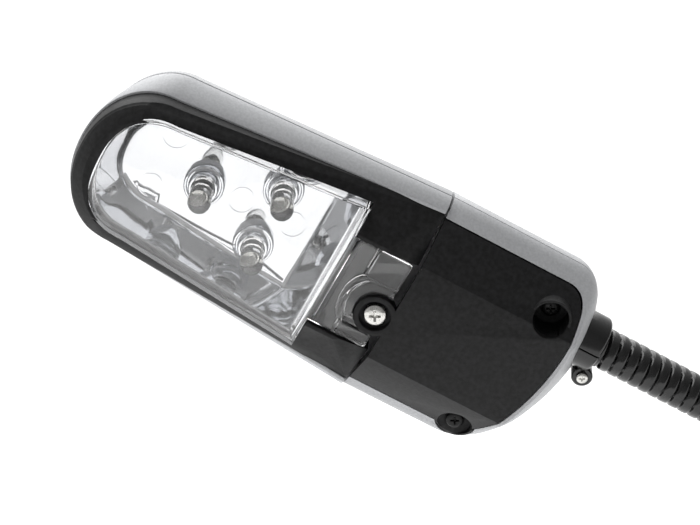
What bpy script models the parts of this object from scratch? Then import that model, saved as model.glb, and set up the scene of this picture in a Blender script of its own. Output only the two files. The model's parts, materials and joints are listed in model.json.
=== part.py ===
"""Clip-on LED reading lamp: a two-module head on a gooseneck that rises from a battery clip.

Metres, +Z up. The origin is where the jaws grip, on the upper pad's face. The head is built in its own
frame: x from the tip to the neck, y across, z out of the lens face, with z = 0 on the flat black face
and x = 0 on the split between the front and the rear module.
"""

from math import atan2, copysign, cos, hypot, pi, radians, sin, sqrt, tan

import bmesh
import bpy
from mathutils import Matrix, Vector

MM = 0.001
GAP = 0.3 * MM  # clearance between neighbouring pieces
WALL = 1.6 * MM  # shell thickness

# Head, front module
TIP_X = -72.7 * MM  # furthest point of the tip
TIP_LENGTH = 14.0 * MM  # length of the rounded tip
TIP_FULLNESS = 2.1  # 2 is an ellipse, more is squarer
TIP_STEPS = 18
TAPER = 0.092  # half-width lost per length towards the tip
SPLIT_GAP = 0.6 * MM  # gap between the modules
BEZEL_HALF = 21.9 * MM  # half-width of the bezel at the split
BLACK_HALF = 21.1 * MM  # half-width of the rear black face
BLACK_DEPTH = 6.4 * MM  # depth of the black edge at the sides
RIM_DROP = 1.9 * MM  # the bezel's band falls this much to its crease
RIM_BAND = 2.4 * MM  # and is this wide
WINDOW_TIP_X = -69.0 * MM
WINDOW_END_X = -14.6 * MM
WINDOW_HALF = 19.5 * MM
WINDOW_TAPER = 0.095
WINDOW_FULLNESS = 2.5
WINDOW_TIP_LENGTH = 12.0 * MM
FACET_TIP_X = -15.5 * MM  # where the side facets start on the bezel's edge
FACET_TURN_X = -8.0 * MM  # where their crease turns to run straight back

# Head, shared and rear module
PANEL_HALF = 12.0 * MM  # half-width of the flat face between the side facets
SIDE_HALF = 25.0 * MM  # half-width at the parting line
SIDE_TAPER = 0.070
SIDE_TIP_BACK = 0.8 * MM  # the parting line's tip lies this much behind the black tip
PARTING_REAR = 10.0 * MM  # depth of the parting line behind the split
PARTING_TIP = 12.4 * MM  # and at the tip
HEAD_DEPTH = 20.0 * MM
RIM_WIDTH = 0.8 * MM  # visible edge of the grey frame round the black face
COVER_REAR_X = 35.5 * MM
COVER_REAR_Y = 8.0 * MM
COVER_REAR_RADIUS = 55.0 * MM
SIDE_REAR_X = 41.0 * MM
SIDE_REAR_Y = 4.0 * MM
SIDE_REAR_RADIUS = 38.0 * MM
REAR_CORNER = 4.5 * MM
CORNER_STEPS = 5
REAR_STEPS = 8
WELLS = ((29.4 * MM, 14.2 * MM), (25.2 * MM, -18.0 * MM))
WELL_RADIUS = 3.8 * MM
CUP_WALL = 0.9 * MM
CUP_FLOOR = 1.2 * MM
WELL_DEPTH = 9.0 * MM
SIDE_WALL_DEPTH = 12.0 * MM  # cut that clears a well's cup from the side frame
BOSS_X = -2.9 * MM
BOSS_Y = -2.9 * MM
BOSS_RADIUS = 5.0 * MM
BOSS_WELL_RADIUS = 3.6 * MM
BOSS_WELL_DEPTH = 1.5 * MM
SCREW_HEAD_RADIUS = 2.5 * MM
SCREW_HEAD_HEIGHT = 1.4 * MM
SCREW_RADIUS = 1.0 * MM

# Lens, reflector and lamps
LENS_DROP = 0.3 * MM
LENS_THICK = 1.5 * MM
LENS_SKIRT = 4.6 * MM
EAR_HALF = 10.9 * MM
EAR_END_X = -1.3 * MM
TRAY_FLOOR = 15.0 * MM
TRAY_WALL = 1.0 * MM
TRAY_DRAFT = 2.6 * MM
LEDS = ((-45.9 * MM, 0.0), (-30.0 * MM, 7.0 * MM), (-30.0 * MM, -7.0 * MM))
LED_RADIUS = 2.5 * MM
LED_TIP = 2.6 * MM
LED_BASE = 12.0 * MM
LED_STEM_RADIUS = 1.4 * MM
COLLAR_BASE_RADIUS = 4.6 * MM
COLLAR_STEP = 13.6 * MM
COLLAR_RING_RADIUS = 3.3 * MM
COLLAR_TOP = 11.4 * MM
BOARD_THICK = 1.0 * MM

# Switch
SWITCH_X = 12.0 * MM
BUTTON_RADIUS = 3.6 * MM
BUTTON_PROUD = 1.6 * MM
BUTTON_TRAVEL = 1.2 * MM

# Neck
NECK_RADIUS = 4.5 * MM
NECK_Y = 10.3 * MM
NECK_DEPTH = 10.2 * MM
NECK_START_X = 37.0 * MM
COLLAR_WALL = 1.5 * MM
COLLAR_RADIUS = NECK_RADIUS + GAP + COLLAR_WALL
COLLAR_END_X = 43.6 * MM
COLLAR_INSIDE = 2.0 * MM  # the clamp starts this much before the neck
LUG_RISE = 2.6 * MM  # the clamp's screw lug above and below the neck's axis
LUG_RADIUS = 2.3 * MM
NECK_STRAIGHT = 36.0 * MM
NECK_BEND = 58.0 * MM
NECK_DROP = 46.0 * MM
NECK_PIECES = 7
NECK_SIDES = 16
JOINT_CONE = radians(14)

# Clip
SOCKET_RADIUS = 8.0 * MM
SOCKET_HEIGHT = 11.0 * MM
SOCKET_DEPTH = 8.0 * MM
CELL_RADIUS = 5.2 * MM
CELL_LENGTH = 44.0 * MM
CELL_PITCH = 2 * CELL_RADIUS + 0.6 * MM
BAY_FLOOR = 2.2 * MM  # the case's wall under the cells
BAY_HEADROOM = 1.6 * MM
BAY_INSET = 4.2 * MM  # from the case's front to the cells
BOX_LENGTH = CELL_LENGTH + 14.0 * MM
BOX_WIDTH = 3 * CELL_PITCH + 7.0 * MM
BOX_HEIGHT = BAY_FLOOR + 2 * CELL_RADIUS + BAY_HEADROOM + 3.8 * MM
BOX_CORNER = 4.0 * MM
PAD_THICK = 1.8 * MM
PAD_LENGTH = 18.0 * MM
PAD_WIDTH = 32.0 * MM
PAD_MEET = 0.6 * MM
DOOR_THICK = 2.0 * MM
JAW_THICK = 2.4 * MM
JAW_WIDTH = 34.0 * MM
PIN_RADIUS = 1.5 * MM
PAD_INSET = 1.0 * MM  # from the box's front to the pads
CLIP_FRONT = -PAD_LENGTH / 2 - PAD_INSET
CLIP_MIDDLE = CLIP_FRONT + BOX_LENGTH / 2
PIN_X = CLIP_MIDDLE + 9.0 * MM
PIN_Z = -6.0 * MM
LUG_HALF = 3.6 * MM
LUG_THICK = 2.6 * MM
SPRING_RADIUS = 2.7 * MM
SPRING_WIRE = 0.6 * MM
SPRING_TURNS = 4
HANDLE_LENGTH = 27.0 * MM
HANDLE_SLOPE = radians(21)


def material(name, colour, roughness, metallic=0.0, alpha=1.0):
    made = bpy.data.materials.new(name)
    made.use_nodes = True
    shader = made.node_tree.nodes["Principled BSDF"]
    shader.inputs["Base Color"].default_value = (*colour, 1.0)
    shader.inputs["Roughness"].default_value = roughness
    shader.inputs["Metallic"].default_value = metallic
    shader.inputs["Alpha"].default_value = alpha
    return made


def build(name, verts, faces, finish, parent=None, smooth=True):
    """One closed mesh object with its faces pointing out."""
    mesh = bpy.data.meshes.new(name)
    mesh.from_pydata([tuple(v) for v in verts], [], faces)
    bm = bmesh.new()
    bm.from_mesh(mesh)
    bmesh.ops.remove_doubles(bm, verts=bm.verts, dist=1e-6)
    bmesh.ops.recalc_face_normals(bm, faces=bm.faces)
    if bm.calc_volume(signed=True) < 0:
        bmesh.ops.reverse_faces(bm, faces=bm.faces)
    bm.to_mesh(mesh)
    bm.free()
    made = bpy.data.objects.new(name, mesh)
    bpy.context.scene.collection.objects.link(made)
    if finish:
        mesh.materials.append(finish)
    if smooth:
        mesh.shade_smooth()
        mesh.set_sharp_from_angle(angle=radians(32))
    made.parent = parent
    return made


def loft(name, loops, finish, parent=None, ring=False):
    """Skin over loops of as many points each; a ring closes on its first loop, else the ends are capped."""
    count = len(loops[0])
    verts = [point for loop in loops for point in loop]
    faces = []
    for k in range(len(loops) if ring else len(loops) - 1):
        low, high = k * count, (k + 1) % len(loops) * count
        for i in range(count):
            j = (i + 1) % count
            faces.append((low + i, low + j, high + j, high + i))
    if not ring:
        faces.append(tuple(range(count))[::-1])
        faces.append(tuple(range(len(verts) - count, len(verts))))
    return build(name, verts, faces, finish, parent)


def disc_loop(centre, axis, radius, sides):
    """Points of a circle round an axis."""
    turn = Vector(axis).normalized().to_track_quat("Z", "Y").to_matrix()
    points = []
    for i in range(sides):
        angle = 2 * pi * i / sides
        points.append(Vector(centre) + turn @ Vector((radius * cos(angle), radius * sin(angle), 0)))
    return points


def turned(name, base, axis, profile, finish, parent=None, sides=24, ring=False):
    """A turned piece: (distance along the axis, radius) pairs."""
    axis = Vector(axis).normalized()
    loops = [disc_loop(Vector(base) + axis * at, axis, radius, sides) for at, radius in profile]
    return loft(name, loops, finish, parent, ring)


def block(name, low, high, finish, parent=None, bevel=0.0):
    """A box between two corners, with rounded edges."""
    x0, y0, z0 = low
    x1, y1, z1 = high
    base = [(x0, y0, z0), (x1, y0, z0), (x1, y1, z0), (x0, y1, z0)]
    made = loft(name, [base, [(x, y, z1) for x, y, _ in base]], finish, parent)
    if bevel:
        bm = bmesh.new()
        bm.from_mesh(made.data)
        bmesh.ops.bevel(bm, geom=bm.edges[:], offset=bevel, segments=2, affect="EDGES", profile=0.5)
        bm.to_mesh(made.data)
        bm.free()
    return made


def prism(name, outline, low, high, finish, parent=None):
    """An outline of (x, y) points between two heights."""
    loops = [[(x, y, z) for x, y in outline] for z in (low, high)]
    return loft(name, loops, finish, parent)


def combine(piece, other, operation):
    """Cuts, joins or intersects a piece with another, which is used up."""
    bpy.context.view_layer.update()
    change = piece.modifiers.new("shape", "BOOLEAN")
    change.operation = operation
    change.solver = "EXACT"
    change.object = other
    graph = bpy.context.evaluated_depsgraph_get()
    result = bpy.data.meshes.new_from_object(piece.evaluated_get(graph))
    piece.modifiers.clear()
    old = piece.data
    piece.data = result
    result.name = piece.name
    bpy.data.meshes.remove(old)
    bpy.data.objects.remove(other)
    bm = bmesh.new()
    bm.from_mesh(result)
    bmesh.ops.remove_doubles(bm, verts=bm.verts, dist=2e-6)
    bmesh.ops.dissolve_degenerate(bm, edges=bm.edges, dist=1e-6)
    bm.to_mesh(result)
    bm.free()


def cut(piece, other):
    combine(piece, other, "DIFFERENCE")


def join(piece, other):
    combine(piece, other, "UNION")


def face_height(y):
    """Depth of the rear black face at a place across it, as z."""
    slope = BLACK_DEPTH / (BLACK_HALF - PANEL_HALF)
    return -max(0.0, abs(y) - PANEL_HALF) * slope


def parting(x):
    """Depth of the parting line at a place along the head, as z."""
    share = min(1.0, max(0.0, x / TIP_X))
    return -(PARTING_REAR + (PARTING_TIP - PARTING_REAR) * share)


def front_loop(half, tip, end, depth, taper=TAPER, length=TIP_LENGTH, fullness=TIP_FULLNESS):
    """Outline of the front module at one level; depth is a height or a function of x and y."""
    centre = tip + length
    side = half + taper * centre
    flat = [(end, half + taper * end)]
    for i in range(TIP_STEPS + 1):
        angle = pi / 2 + pi * i / TIP_STEPS
        c, s = cos(angle), sin(angle)
        along = copysign(abs(c) ** (2 / fullness), c)
        across = copysign(abs(s) ** (2 / fullness), s)
        flat.append((centre + length * along, side * across))
    flat.append((end, -half - taper * end))
    return [(x, y, depth(x, y) if callable(depth) else depth) for x, y in flat]


def rear_loop(half, reach, apex, radius, start, depth):
    """Outline of the rear module at one level: straight sides and a bowed, slanting end."""

    def end(y):
        return reach - radius + sqrt(radius * radius - (y - apex) ** 2)

    def corner(side):
        tip = Vector((end(side * half), side * half))
        first = Vector((tip.x - REAR_CORNER, tip.y))
        inner = side * (half - REAR_CORNER)
        last = Vector((end(inner), inner))
        points = []
        for i in range(CORNER_STEPS):
            t = i / (CORNER_STEPS - 1)
            points.append(first * (1 - t) ** 2 + tip * 2 * t * (1 - t) + last * t * t)
        return points

    flat = [Vector((start, -half))] + corner(-1)
    for i in range(1, REAR_STEPS):
        y = (half - REAR_CORNER) * (2 * i / REAR_STEPS - 1)
        flat.append(Vector((end(y), y)))
    flat += corner(1)[::-1] + [Vector((start, half))]
    return [(p.x, p.y, depth(p.x, p.y) if callable(depth) else depth) for p in flat]


def black_rear(grow, depth):
    """The rear black face's outline, grown outwards."""
    start = SPLIT_GAP / 2
    return rear_loop(BLACK_HALF + grow, COVER_REAR_X + grow, COVER_REAR_Y, COVER_REAR_RADIUS, start, depth)


def side_rear(shrink, depth, wall=0.0):
    """The rear parting line's outline, shrunk inwards, with its split end a wall further in."""
    start = SPLIT_GAP / 2 + wall
    return rear_loop(SIDE_HALF - shrink, SIDE_REAR_X - shrink, SIDE_REAR_Y, SIDE_REAR_RADIUS, start, depth)


def black_front(grow, depth, end=-SPLIT_GAP / 2):
    return front_loop(BEZEL_HALF + grow, TIP_X - grow, end, depth)


def side_front(shrink, depth, wall=0.0):
    """The front parting line's outline, shrunk inwards, with its split end a wall further in."""
    end = -SPLIT_GAP / 2 - wall
    return front_loop(SIDE_HALF - shrink, TIP_X + SIDE_TIP_BACK + shrink, end, depth, taper=SIDE_TAPER)


def window(grow, depth, end=WINDOW_END_X):
    return front_loop(
        WINDOW_HALF + grow,
        WINDOW_TIP_X - grow,
        end,
        depth,
        taper=WINDOW_TAPER,
        length=WINDOW_TIP_LENGTH,
        fullness=WINDOW_FULLNESS,
    )


# The caps' rounded shoulder: shrink in mm, and the share of the cap's depth it is at
CAP_SHOULDER = ((0.4, 0.40), (1.6, 0.72), (4.5, 0.93), (10.0, 1.0))


def cap_levels(outline, parting_z):
    """Loops of a top cap: up its inside, over its rim and down its outside."""
    inner, outer = [], []
    for shrink, share in ((0.0, 0.0), *CAP_SHOULDER):

        def depth(x, y, share=share, lift=0.0):
            edge = parting_z(x) - GAP
            return edge + (lift - HEAD_DEPTH - edge) * share

        outer.append(outline(shrink * MM, depth))
        inner.append(outline(shrink * MM + WALL, lambda x, y, f=depth: f(x, y, lift=WALL), wall=WALL))
    return inner[::-1] + outer


def frame_band(black, side, face, parting_z, wall):
    """Sections of a grey side frame: a band from the black face's edge out to the parting line."""
    levels = [
        black(GAP + RIM_WIDTH, face),
        side(0.0, lambda x, y: parting_z(x)),
        side(wall, lambda x, y: parting_z(x)),
        black(GAP, lambda x, y: face(x, y) - 1.8 * MM),
        black(GAP, face),
    ]
    return [list(section) for section in zip(*levels)]


def screw(name, place, axis, length, finish, parent, size=1.0):
    """A pan-head screw with a cross recess; place is under its head."""
    head, radius = SCREW_HEAD_HEIGHT * size, SCREW_HEAD_RADIUS * size
    shank = SCREW_RADIUS * size
    profile = [(-length, shank * 0.5), (-length + 0.8 * MM, shank), (0, shank)]
    profile += [(0, radius), (head * 0.45, radius), (head * 0.85, radius * 0.8), (head, radius * 0.45)]
    made = turned(name, place, axis, profile, finish, parent, sides=16)
    turn = Vector(axis).normalized().to_track_quat("Z", "Y").to_matrix()
    for long, wide in ((0.6 * radius, 0.12 * radius), (0.12 * radius, 0.6 * radius)):
        corners = []
        for x, y in ((-long, -wide), (long, -wide), (long, wide), (-long, wide)):
            corners.append(Vector(place) + turn @ Vector((x, y, head * 0.4)))
        lift = turn @ Vector((0, 0, head))
        cut(made, loft("recess", [corners, [c + lift for c in corners]], None, parent))
    return made


def facet_planes():
    """The two planes, for the +y side, that drop the bezel's face into the side facets."""
    side = BEZEL_HALF + TAPER * FACET_TIP_X
    edge = Vector((FACET_TIP_X, side, -RIM_DROP))
    turn = Vector((FACET_TURN_X, PANEL_HALF, 0))
    back = Vector((0, PANEL_HALF, 0))
    low = Vector((0, BEZEL_HALF, -BLACK_DEPTH))
    planes = []
    for a, b, c in ((edge, turn, low), (turn, back, low)):
        normal = (b - a).cross(c - a).normalized()
        planes.append((a, normal if normal.z > 0 else -normal))
    return planes


def slice_off(piece, point, normal):
    """Removes what lies past a plane and closes the cut."""
    bm = bmesh.new()
    bm.from_mesh(piece.data)
    geometry = bm.verts[:] + bm.edges[:] + bm.faces[:]
    found = bmesh.ops.bisect_plane(bm, geom=geometry, plane_co=point, plane_no=normal, clear_outer=True)
    edges = [e for e in found["geom_cut"] if isinstance(e, bmesh.types.BMEdge)]
    bmesh.ops.holes_fill(bm, edges=[e for e in edges if e.is_boundary])
    bmesh.ops.recalc_face_normals(bm, faces=bm.faces)
    bm.to_mesh(piece.data)
    bm.free()


def make_front(parent, finishes):
    silver, black, clear, chrome, epoxy, steel, board = finishes
    head = parent

    def face(x, y):
        return -BLACK_DEPTH * 0.97

    sections = frame_band(black_front, side_front, face, parting, WALL)
    loft("front_side_frame", sections, silver, head)
    loft("front_top_cap", cap_levels(side_front, parting), silver, head)

    bezel = loft(
        "front_bezel",
        [
            black_front(0, -BLACK_DEPTH),
            black_front(0, -RIM_DROP),
            black_front(-RIM_BAND * 0.5, -RIM_DROP * 0.4),
            black_front(-RIM_BAND, 0),
        ],
        black,
        head,
    )
    for point, normal in facet_planes():
        for side in (1, -1):
            way = Vector((normal.x, side * normal.y, normal.z))
            slice_off(bezel, Vector((point.x, side * point.y, point.z)), way)
    end = -SPLIT_GAP / 2
    hollow = loft(
        "hollow",
        [
            black_front(-1.3 * MM, -BLACK_DEPTH - MM, end - WALL),
            black_front(-1.3 * MM, -RIM_DROP - WALL, end - WALL),
            black_front(-RIM_BAND - 0.4 * MM, -WALL - 0.3 * MM, end - WALL),
        ],
        None,
        head,
    )
    for point, normal in facet_planes():
        for side in (1, -1):
            way = Vector((normal.x, side * normal.y, normal.z))
            slice_off(hollow, Vector((point.x, side * point.y, point.z)) - way * WALL, way)
    cut(bezel, hollow)
    cut(bezel, loft("opening", [window(0, -BLACK_DEPTH - MM), window(0, MM)], None, head))
    low = (WINDOW_END_X - 0.5 * MM, -EAR_HALF - GAP, -BLACK_DEPTH - MM)
    cut(bezel, block("ears", low, (MM, EAR_HALF + GAP, MM), None, head))

    top = -LENS_DROP
    lens = loft(
        "lens_cover",
        [
            window(-GAP - 0.9 * MM, top - LENS_THICK, WINDOW_END_X - GAP - 0.9 * MM),
            window(-GAP - 0.9 * MM, top - LENS_SKIRT, WINDOW_END_X - GAP - 0.9 * MM),
            window(-GAP, top - LENS_SKIRT, WINDOW_END_X - GAP),
            window(-GAP, top, WINDOW_END_X - GAP),
        ],
        clear,
        head,
    )
    low = (WINDOW_END_X - MM, -EAR_HALF, top - LENS_THICK)
    join(lens, block("ears", low, (EAR_END_X, EAR_HALF, top), None, head))
    boss = (BOSS_X, BOSS_Y, -BLACK_DEPTH)
    clearance = [(0, BOSS_RADIUS + GAP), (10 * MM, BOSS_RADIUS + GAP)]
    cut(lens, turned("round", boss, (0, 0, 1), clearance, None, head))

    def tray(shrink, depth):
        return window(-GAP - shrink, -depth, WINDOW_END_X - GAP - shrink)

    skirt = LENS_DROP + LENS_SKIRT + GAP
    floor = loft(
        "reflector_tray",
        [
            tray(TRAY_DRAFT + TRAY_WALL, TRAY_FLOOR),
            tray(TRAY_WALL, skirt),
            tray(0, skirt),
            tray(TRAY_DRAFT, TRAY_FLOOR + TRAY_WALL),
        ],
        chrome,
        head,
    )
    for x, y in LEDS:
        base = (x, y, -TRAY_FLOOR - TRAY_WALL * 0.5)
        step = TRAY_FLOOR + TRAY_WALL * 0.5
        profile = [(0, COLLAR_BASE_RADIUS), (step - COLLAR_STEP, COLLAR_BASE_RADIUS - 0.3 * MM)]
        profile.append((step - COLLAR_STEP, COLLAR_RING_RADIUS + 0.3 * MM))
        profile.append((step - COLLAR_TOP, COLLAR_RING_RADIUS))
        join(floor, turned("collar", base, (0, 0, 1), profile, None, head, sides=20))
        bore = LED_RADIUS + 0.2 * MM
        start = (x, y, -TRAY_FLOOR - 2 * TRAY_WALL)
        cut(floor, turned("bore", start, (0, 0, 1), [(0, bore), (8 * MM, bore)], None, head, sides=20))

    board_top = -TRAY_FLOOR - TRAY_WALL - GAP
    outline = [(x, y) for x, y, _ in tray(TRAY_DRAFT + 2 * MM, TRAY_FLOOR)]
    prism("led_board", outline, board_top - BOARD_THICK, board_top, board, head)
    for number, (x, y) in enumerate(LEDS, 1):
        foot = (x, y, board_top + 0.1 * MM)
        rise = -board_top - 0.1 * MM
        profile = [(0, LED_STEM_RADIUS), (rise - LED_BASE, LED_STEM_RADIUS), (rise - LED_BASE, LED_RADIUS)]
        for i in range(5):
            angle = pi / 2 * i / 5
            along = rise - LED_TIP - LED_RADIUS + LED_RADIUS * sin(angle)
            profile.append((along, LED_RADIUS * cos(angle)))
        turned(f"led_{number}", foot, (0, 0, 1), profile, epoxy, head, sides=20)
    seat = (BOSS_X, BOSS_Y, -BOSS_WELL_DEPTH + 0.15 * MM)
    screw("lens_screw", seat, (0, 0, 1), 6 * MM, steel, head)


def make_rear(parent, finishes):
    silver, black, steel, board, grey, brass = finishes
    head = parent

    def face(x, y):
        return face_height(y)

    sections = frame_band(black_rear, side_rear, face, parting, WALL)
    frame = loft("rear_side_frame", sections, silver, head)
    cap = loft("rear_top_cap", cap_levels(side_rear, parting), silver, head)

    wide = BLACK_HALF + 8 * MM
    drop = face_height(wide)
    section = [(-wide, drop), (-PANEL_HALF, 0), (PANEL_HALF, 0), (wide, drop)]
    section += [(wide, drop - WALL), (PANEL_HALF, -WALL), (-PANEL_HALF, -WALL), (-wide, drop - WALL)]
    start = SPLIT_GAP / 2
    loops = [[(x, y, z) for y, z in section] for x in (start - 8 * MM, COVER_REAR_X + 8 * MM)]
    cover = loft("rear_cover", loops, black, head)
    mask = loft("mask", [black_rear(0, -14 * MM), black_rear(0, 4 * MM)], None, head)
    combine(cover, mask, "INTERSECT")
    boss = (BOSS_X, BOSS_Y)
    round_boss = [(0, BOSS_RADIUS), (WALL, BOSS_RADIUS)]
    tongue = turned("tongue", (*boss, -WALL), (0, 0, 1), round_boss, None, head)
    join(cover, tongue)
    well = (BOSS_X, BOSS_Y, -BOSS_WELL_DEPTH)
    floor = [(0, BOSS_RADIUS), (2 * MM, BOSS_RADIUS)]
    join(cover, turned("floor", (*boss, -3 * MM), (0, 0, 1), floor, None, head))
    bore = [(0, BOSS_WELL_RADIUS), (4 * MM, BOSS_WELL_RADIUS)]
    cut(cover, turned("well", well, (0, 0, 1), bore, None, head))
    hole = SCREW_RADIUS + GAP
    through = [(0, hole), (8 * MM, hole)]
    cut(cover, turned("hole", (*boss, -6 * MM), (0, 0, 1), through, None, head, sides=12))
    for number, (x, y) in enumerate(WELLS, 1):
        bottom = (x, y, -WELL_DEPTH)
        outer = WELL_RADIUS + CUP_WALL
        rise = WELL_DEPTH + face_height(abs(y) + outer) - 0.1 * MM
        join(cover, turned("cup", bottom, (0, 0, 1), [(0, outer), (rise, outer)], None, head))
        inside = (x, y, -WELL_DEPTH + CUP_FLOOR)
        depth = WELL_DEPTH + 2 * MM
        cut(cover, turned("well", inside, (0, 0, 1), [(0, WELL_RADIUS), (depth, WELL_RADIUS)], None, head))
        low = (x, y, -SIDE_WALL_DEPTH)
        clear = [(0, outer + GAP), (SIDE_WALL_DEPTH + MM, outer + GAP)]
        cut(frame, turned("notch", low, (0, 0, 1), clear, None, head))
        low = (x, y, -WELL_DEPTH - MM)
        cut(cover, turned("hole", low, (0, 0, 1), [(0, hole), (4 * MM, hole)], None, head, sides=12))
        post = (x, y, -HEAD_DEPTH + WALL * 0.5)
        tall = HEAD_DEPTH - WALL * 0.5 - WELL_DEPTH - GAP
        join(cap, turned("post", post, (0, 0, 1), [(0, 2.8 * MM), (tall, 2.8 * MM)], None, head, sides=16))
        low = (x, y, -HEAD_DEPTH + 2 * WALL)
        cut(cap, turned("hole", low, (0, 0, 1), [(0, hole), (20 * MM, hole)], None, head, sides=12))
        seat = (x, y, -WELL_DEPTH + CUP_FLOOR + 0.15 * MM)
        screw(f"cover_screw_{number}", seat, (0, 0, 1), 6 * MM, steel, head)

    top = -9.5 * MM
    low = (5 * MM, -16 * MM, top - BOARD_THICK)
    block("driver_board", low, (19 * MM, 16 * MM, top), board, head)
    for y in (-14 * MM, 14 * MM):
        post = (8 * MM, y, -HEAD_DEPTH + WALL * 0.5)
        tall = HEAD_DEPTH - WALL * 0.5 + top - BOARD_THICK - GAP
        join(cap, turned("post", post, (0, 0, 1), [(0, 1.8 * MM), (tall, 1.8 * MM)], None, head, sides=12))
    for number, y in enumerate((-9.0 * MM, -4.5 * MM), 1):
        side = (9 * MM, y, top + 1.35 * MM)
        profile = [(0, 0.8 * MM), (0.6 * MM, 1.15 * MM), (5.4 * MM, 1.15 * MM), (6 * MM, 0.8 * MM)]
        turned(f"resistor_{number}", side, (1, 0, 0), profile, brass, head, sides=12)
    low = (8 * MM, 3 * MM, top + 0.1 * MM)
    block("driver_chip", low, (13 * MM, 9 * MM, top + 1.8 * MM), black, head, bevel=0.2 * MM)

    under = top - BOARD_THICK - 0.1 * MM
    half = 3.4 * MM
    low = (SWITCH_X - half, -half, under - 3.6 * MM)
    block("switch_body", low, (SWITCH_X + half, half, under), black, head, bevel=0.3 * MM)
    mouth = BUTTON_RADIUS + GAP
    start = (SWITCH_X, 0, -HEAD_DEPTH - MM)
    cut(cap, turned("mouth", start, (0, 0, 1), [(0, mouth), (4 * MM, mouth)], None, head))
    inner = under - 3.6 * MM - BUTTON_TRAVEL - GAP
    outer = -HEAD_DEPTH - BUTTON_PROUD
    profile = [(0, BUTTON_RADIUS * 0.7), (0.5 * MM, BUTTON_RADIUS * 0.93), (1.1 * MM, BUTTON_RADIUS)]
    profile += [(inner - outer - 1.6 * MM, BUTTON_RADIUS), (inner - outer - 1.6 * MM, BUTTON_RADIUS * 0.5)]
    profile += [(inner - outer, BUTTON_RADIUS * 0.5)]
    button = turned("switch_button", (0, 0, 0), (0, 0, 1), profile, grey, head)
    button.location = (SWITCH_X, 0, outer)

    lug_y = NECK_Y - COLLAR_RADIUS - 0.9 * MM
    lug_x = SIDE_REAR_X + GAP + LUG_RADIUS
    for piece in (frame, cap):
        start = (SIDE_REAR_X - 12 * MM, NECK_Y, -NECK_DEPTH)
        bore = COLLAR_RADIUS + GAP
        cut(piece, turned("bore", start, (1, 0, 0), [(0, bore), (30 * MM, bore)], None, head, sides=28))
    for name, side in (("neck_clamp_upper", 1), ("neck_clamp_lower", -1)):
        start = (NECK_START_X - COLLAR_INSIDE, NECK_Y, -NECK_DEPTH)
        length = COLLAR_END_X - NECK_START_X + COLLAR_INSIDE
        profile = [(0, COLLAR_RADIUS), (length - 0.8 * MM, COLLAR_RADIUS)]
        profile.append((length, COLLAR_RADIUS - 0.8 * MM))
        profile += [(length, NECK_RADIUS + GAP), (0, NECK_RADIUS + GAP)]
        half = turned(name, start, (1, 0, 0), profile, black, head, sides=28, ring=True)
        if side < 0:
            foot = (lug_x, lug_y, -NECK_DEPTH - LUG_RISE)
            profile = [(0, LUG_RADIUS - 0.4 * MM), (0.4 * MM, LUG_RADIUS), (2 * LUG_RISE, LUG_RADIUS)]
            join(half, turned("lug", foot, (0, 0, 1), profile, None, head, sides=20))
            hole = (lug_x, lug_y, -NECK_DEPTH - 0.8 * MM)
            profile = [(0, 0.8 * MM), (8 * MM, 0.8 * MM)]
            cut(half, turned("hole", hole, (0, 0, 1), profile, None, head, sides=12))
        low = [NECK_START_X - 5 * MM, NECK_Y - 20 * MM, -NECK_DEPTH - 20 * MM]
        high = [COLLAR_END_X + 5 * MM, NECK_Y + 20 * MM, -NECK_DEPTH + 20 * MM]
        if side > 0:
            high[1] = NECK_Y + GAP / 2
        else:
            low[1] = NECK_Y - GAP / 2
        cut(half, block("half", low, high, None, head))
    place = (lug_x, lug_y, -NECK_DEPTH + LUG_RISE + 0.15 * MM)
    screw("clamp_screw", place, (0, 0, 1), 3 * MM, steel, head, size=0.5)
    profile = [(0, NECK_RADIUS - 1.4 * MM), (0, NECK_RADIUS - 0.3 * MM)]
    profile += [(1.6 * MM, NECK_RADIUS - 0.3 * MM), (1.6 * MM, NECK_RADIUS - 1.4 * MM)]
    start = (NECK_START_X - COLLAR_INSIDE + 0.1 * MM, NECK_Y, -NECK_DEPTH)
    turned("neck_ferrule", start, (1, 0, 0), profile, steel, head, sides=20, ring=True)


def tube(name, points, radius, finish, parent=None, sides=6):
    """A round bar along points."""
    loops = []
    for i, point in enumerate(points):
        before, after = points[max(0, i - 1)], points[min(len(points) - 1, i + 1)]
        loops.append(disc_loop(point, Vector(after) - Vector(before), radius, sides))
    return loft(name, loops, finish, parent)


def neck_path(start, along):
    """Points a length apart are read from this: straight off the head, a bend, then straight down."""
    level = Vector((along.x, along.y, 0)).normalized()
    pitch = atan2(-along.z, hypot(along.x, along.y))
    turn = (pi / 2 - pitch) * NECK_BEND
    total = NECK_STRAIGHT + turn + NECK_DROP

    def at(s):
        if s <= NECK_STRAIGHT:
            return start + along * s, along
        if s <= NECK_STRAIGHT + turn:
            angle = pitch + (s - NECK_STRAIGHT) / NECK_BEND
        else:
            angle = pi / 2
        bend = start + along * NECK_STRAIGHT
        across = NECK_BEND * (sin(angle) - sin(pitch))
        down = NECK_BEND * (cos(pitch) - cos(angle)) + max(0.0, s - NECK_STRAIGHT - turn)
        way = level * cos(angle) + Vector((0, 0, -sin(angle)))
        return bend + level * across - Vector((0, 0, down)), way

    return at, total


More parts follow.
